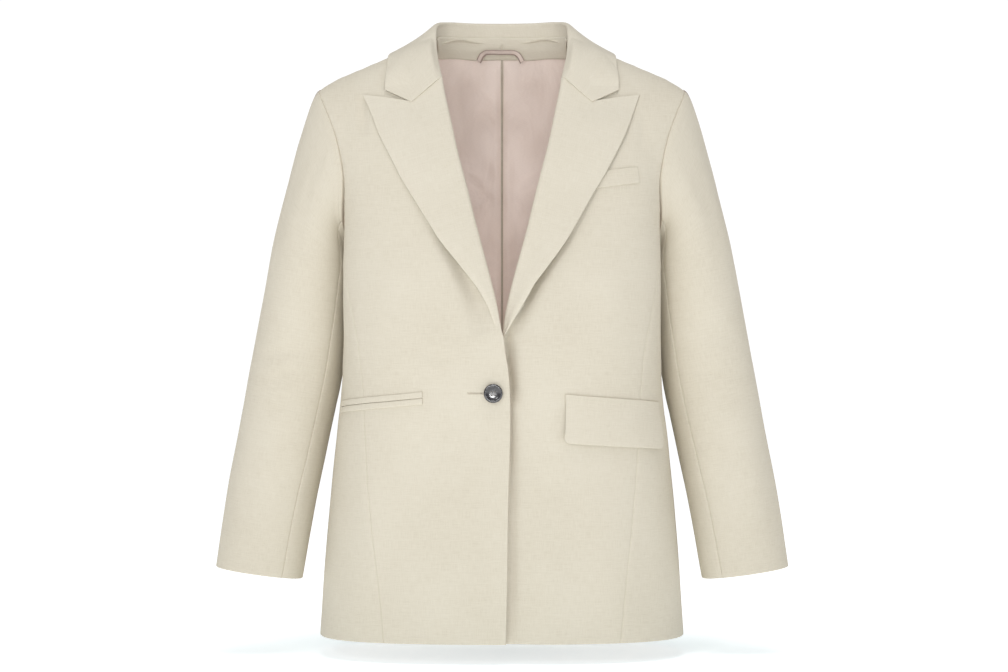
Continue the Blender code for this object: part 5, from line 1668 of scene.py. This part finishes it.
BUTTON_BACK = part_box("button")[1][1]
button = turned("button_horn", FINE_PROFILE, BUTTON_RADIUS, BUTTON_THICK,
                (BUTTON_X, BUTTON_BACK, BUTTON_LEVEL), HORN_STUFF)
holes = bmesh.new()
for dx in (-1, 1):
    for dz in (-1, 1):
        place = np.array([BUTTON_X + dx * BUTTON_HOLE_PITCH, 0.0, BUTTON_LEVEL + dz * BUTTON_HOLE_PITCH])
        ends = []
        for y in (BUTTON_BACK + 2 * MM, BUTTON_BACK - BUTTON_THICK - 2 * MM):
            ring = []
            for step in range(HOLE_SIDES):
                angle = 2 * math.pi * step / HOLE_SIDES
                ring.append(holes.verts.new((place[0] + THREAD_HOLE * math.cos(angle), y,
                                             place[2] + THREAD_HOLE * math.sin(angle))))
            ends.append(ring)
        for step in range(HOLE_SIDES):
            after = (step + 1) % HOLE_SIDES
            holes.faces.new((ends[0][step], ends[0][after], ends[1][after], ends[1][step]))
        holes.faces.new(ends[0])
        holes.faces.new(ends[1])
hole_tool = finish_builder("hole_tool", holes, HORN_STUFF)


def cut_away(target, tool):
    """Exact Boolean difference, applied, and the tool removed."""
    step = target.modifiers.new("cut", "BOOLEAN")
    step.operation = "DIFFERENCE"
    step.solver = "EXACT"
    step.object = tool
    graph = bpy.context.evaluated_depsgraph_get()
    mesh = bpy.data.meshes.new_from_object(target.evaluated_get(graph))
    target.modifiers.clear()
    target.data = mesh
    bpy.data.objects.remove(tool, do_unlink=True)


cut_away(button, hole_tool)
keep(button, ["button"])

stitches = bmesh.new()
thread_top = BUTTON_BACK - 0.62 * BUTTON_THICK
for dx in (-1, 1):
    for turn in (-0.32, 0.0, 0.32):
        x = BUTTON_X + dx * BUTTON_HOLE_PITCH + turn * MM
        rise = thread_top - (0.25 if turn == 0 else 0.0) * MM
        low = (x, rise, BUTTON_LEVEL - BUTTON_HOLE_PITCH - 0.4 * MM)
        high = (x, rise, BUTTON_LEVEL + BUTTON_HOLE_PITCH + 0.4 * MM)
        rod(stitches, low, high, STITCH_RADIUS)
        for end in (low, high):
            rod(stitches, end, (end[0], BUTTON_BACK + 0.3 * MM, end[2]), STITCH_RADIUS)
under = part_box("button_thread")[1][1]
for dx in (-0.7, 0.0, 0.7):
    for dz in (-0.7, 0.0, 0.7):
        rod(stitches, (BUTTON_X + dx * MM, BUTTON_BACK + 0.1 * MM, BUTTON_LEVEL + dz * MM),
            (BUTTON_X + 0.8 * dx * MM, under, BUTTON_LEVEL + 0.8 * dz * MM), 0.42 * MM)
shank = finish_builder("button_thread_stitches", stitches, GREY_THREAD)
keep(shank, ["button_thread"])


# ---------------------------------------------------------------- buttonhole
SLIT_HALF = 0.13 * MM
SLIT_DEPTH = 6 * MM
PURL_RADIUS = 0.3 * MM
PURL_NEAR = 0.35 * MM        # a purl stitch runs from this far beside the slit to this far
PURL_FAR = 1.55 * MM
slot_left = BUTTON_X - SLOT_LENGTH
front_y = skin_height(-BUTTON_X + 0.5 * SLOT_LENGTH, BUTTON_LEVEL, True, -1)[1]
slit = bmesh.new()
ring = []
for y in (front_y - SLIT_DEPTH, front_y + SLIT_DEPTH):
    outline = [(slot_left, -SLIT_HALF), (BUTTON_X + 2 * MM, -SLIT_HALF),
               (BUTTON_X + 2 * MM, SLIT_HALF), (slot_left, SLIT_HALF)]
    ring.append([slit.verts.new((x, y, BUTTON_LEVEL + z)) for x, z in outline])
for step in range(4):
    after = (step + 1) % 4
    slit.faces.new((ring[0][step], ring[0][after], ring[1][after], ring[1][step]))
slit.faces.new(ring[0])
slit.faces.new(ring[1])
slit_tool = finish_builder("slit_tool", slit, CLOTH_STUFF)
cut_away(cloth["front_right"], slit_tool)

purl = bmesh.new()
STITCH_STEP = 0.62 * MM
count = int(SLOT_LENGTH / STITCH_STEP)
for step in range(count + 1):
    x = slot_left + STITCH_STEP * step
    for up in (-1, 1):
        wobble = 0.07 * MM * math.sin(step * 2.1 + up)
        near = skin_height(-x, BUTTON_LEVEL + up * PURL_NEAR, True, -1)
        far = skin_height(-x, BUTTON_LEVEL + up * (PURL_FAR + wobble), True, -1)
        rod(purl, (x, near[1] - 0.12 * MM, BUTTON_LEVEL + up * PURL_NEAR),
            (x + 0.1 * MM, far[1] + 0.05 * MM, BUTTON_LEVEL + up * (PURL_FAR + wobble)), PURL_RADIUS, 6)
for step in range(5):
    z = (step - 2) * 0.6 * MM
    here = skin_height(-slot_left, BUTTON_LEVEL + z, True, -1)
    rod(purl, (slot_left - 0.9 * MM, here[1] - 0.05 * MM, BUTTON_LEVEL + z),
        (slot_left + 0.3 * MM, here[1] - 0.15 * MM, BUTTON_LEVEL + z), PURL_RADIUS, 6)
purl_piece = finish_builder("buttonhole_stitches", purl, THREAD_STUFF)
keep(purl_piece, [])


# ---------------------------------------------------------------- studio
def area_light(name, place, aim, size, power):
    """A soft square light."""
    data = bpy.data.lights.new(name, "AREA")
    data.shape = "SQUARE"
    data.size = size
    data.energy = power
    item = bpy.data.objects.new(name, data)
    bpy.context.scene.collection.objects.link(item)
    item.location = place
    way = np.array(aim) - np.array(place)
    flat = math.hypot(way[0], way[1])
    item.rotation_euler = (math.atan2(flat, -way[2]), 0.0, math.atan2(-way[0], way[1]))


FLOOR_LEVEL = -0.730
FLOOR_REACH = 14.0
FLOOR_SHADOW_REACH = 0.62           # painted shadow: the floor glows less within this distance of the part
FLOOR_SHADOW_GLOW = 0.42
FLOOR_FAR_GLOW = 0.33       # added to it farther off
CORNERS = ((-1, -1), (1, -1), (1, 1), (-1, 1))
floor_mesh = bpy.data.meshes.new("floor")
floor_mesh.from_pydata([(x * FLOOR_REACH, y * FLOOR_REACH, FLOOR_LEVEL) for x, y in CORNERS],
                       [], [(0, 1, 2, 3)])
floor = bpy.data.objects.new("floor", floor_mesh)
bpy.context.scene.collection.objects.link(floor)
floor_tree = Tree("floor_painted_shadow")
grit = floor_tree.noise((floor_tree.add("ShaderNodeTexCoord"), 3), 3.0, 2.0)
floor_tree.put(floor_tree.shader, "Base Color",
               floor_tree.ramp(grit, [(0.3, (0.90, 0.92, 0.925, 1)), (0.7, (0.92, 0.94, 0.945, 1))]))
floor_tree.shader.inputs["Roughness"].default_value = 0.9
floor_tree.shader.inputs["Specular IOR Level"].default_value = 0.0
spot_place = floor_tree.add("ShaderNodeNewGeometry")
spot = floor_tree.add("ShaderNodeVectorMath")
spot.operation = "LENGTH"
floor_tree.put(spot, "0", floor_tree.stretch((spot_place, 0), 1.0, 1.5, 0.0))
# painted shadow: the floor's glow is dimmer and bluish near the part, offsetting the pinkish light bounced
# onto it
spread = floor_tree.math("SMOOTH_MIN", floor_tree.math("DIVIDE", (spot, 1), FLOOR_SHADOW_REACH), 1.0, 0.3)
floor_tree.put(floor_tree.shader, "Emission Strength",
               floor_tree.math("ADD", floor_tree.math("MULTIPLY", spread, FLOOR_FAR_GLOW), FLOOR_SHADOW_GLOW))
floor_tree.put(floor_tree.shader, "Emission Color",
               floor_tree.ramp(spread, [(0.0, (0.76, 0.94, 1.0, 1)), (1.0, (1, 1, 1, 1))]))
floor_mesh.materials.append(floor_tree.material)

LIGHTS = (
    # name, place, aim, size, power
    ("key", (-1.5, -4.0, 1.5), (0.0, 0.0, -0.3), 1.1, 35),
    ("fill", (0.15, -4.4, -0.05), (0.0, 0.0, -0.2), 0.7, 31),
    ("top", (0.1, -0.7, 2.6), (0.0, 0.0, -0.1), 1.6, 30),
)
for light in LIGHTS:
    area_light(*light)

WORLD_GLOW = 0.335
BACKDROP_GLOW = 1.05        # the plain backdrop, as seen
world = bpy.data.worlds.new("studio")
bpy.context.scene.world = world
world.use_nodes = True
nodes = world.node_tree.nodes
links = world.node_tree.links
nodes.clear()
seen = nodes.new("ShaderNodeLightPath")
glow = nodes.new("ShaderNodeBackground")
glow.inputs["Color"].default_value = (1, 1, 1, 1)
glow.inputs["Strength"].default_value = WORLD_GLOW
white = nodes.new("ShaderNodeBackground")
white.inputs["Color"].default_value = (1, 1, 1, 1)
white.inputs["Strength"].default_value = BACKDROP_GLOW
mixer = nodes.new("ShaderNodeMixShader")
sky = nodes.new("ShaderNodeOutputWorld")
links.new(seen.outputs["Is Camera Ray"], mixer.inputs["Fac"])
links.new(glow.outputs[0], mixer.inputs[1])
links.new(white.outputs[0], mixer.inputs[2])
links.new(mixer.outputs[0], sky.inputs["Surface"])

bpy.context.scene.view_settings.view_transform = "Standard"

camera_data = bpy.data.cameras.new("camera")
camera_data.sensor_width = 36.0
camera_data.lens = 95.24
camera_data.clip_end = 60.0
camera = bpy.data.objects.new("camera", camera_data)
bpy.context.scene.collection.objects.link(camera)
camera.location = (0.0024, -3.2, -0.352)
camera.rotation_euler = (math.radians(90), 0.0, 0.0)
bpy.context.scene.camera = camera
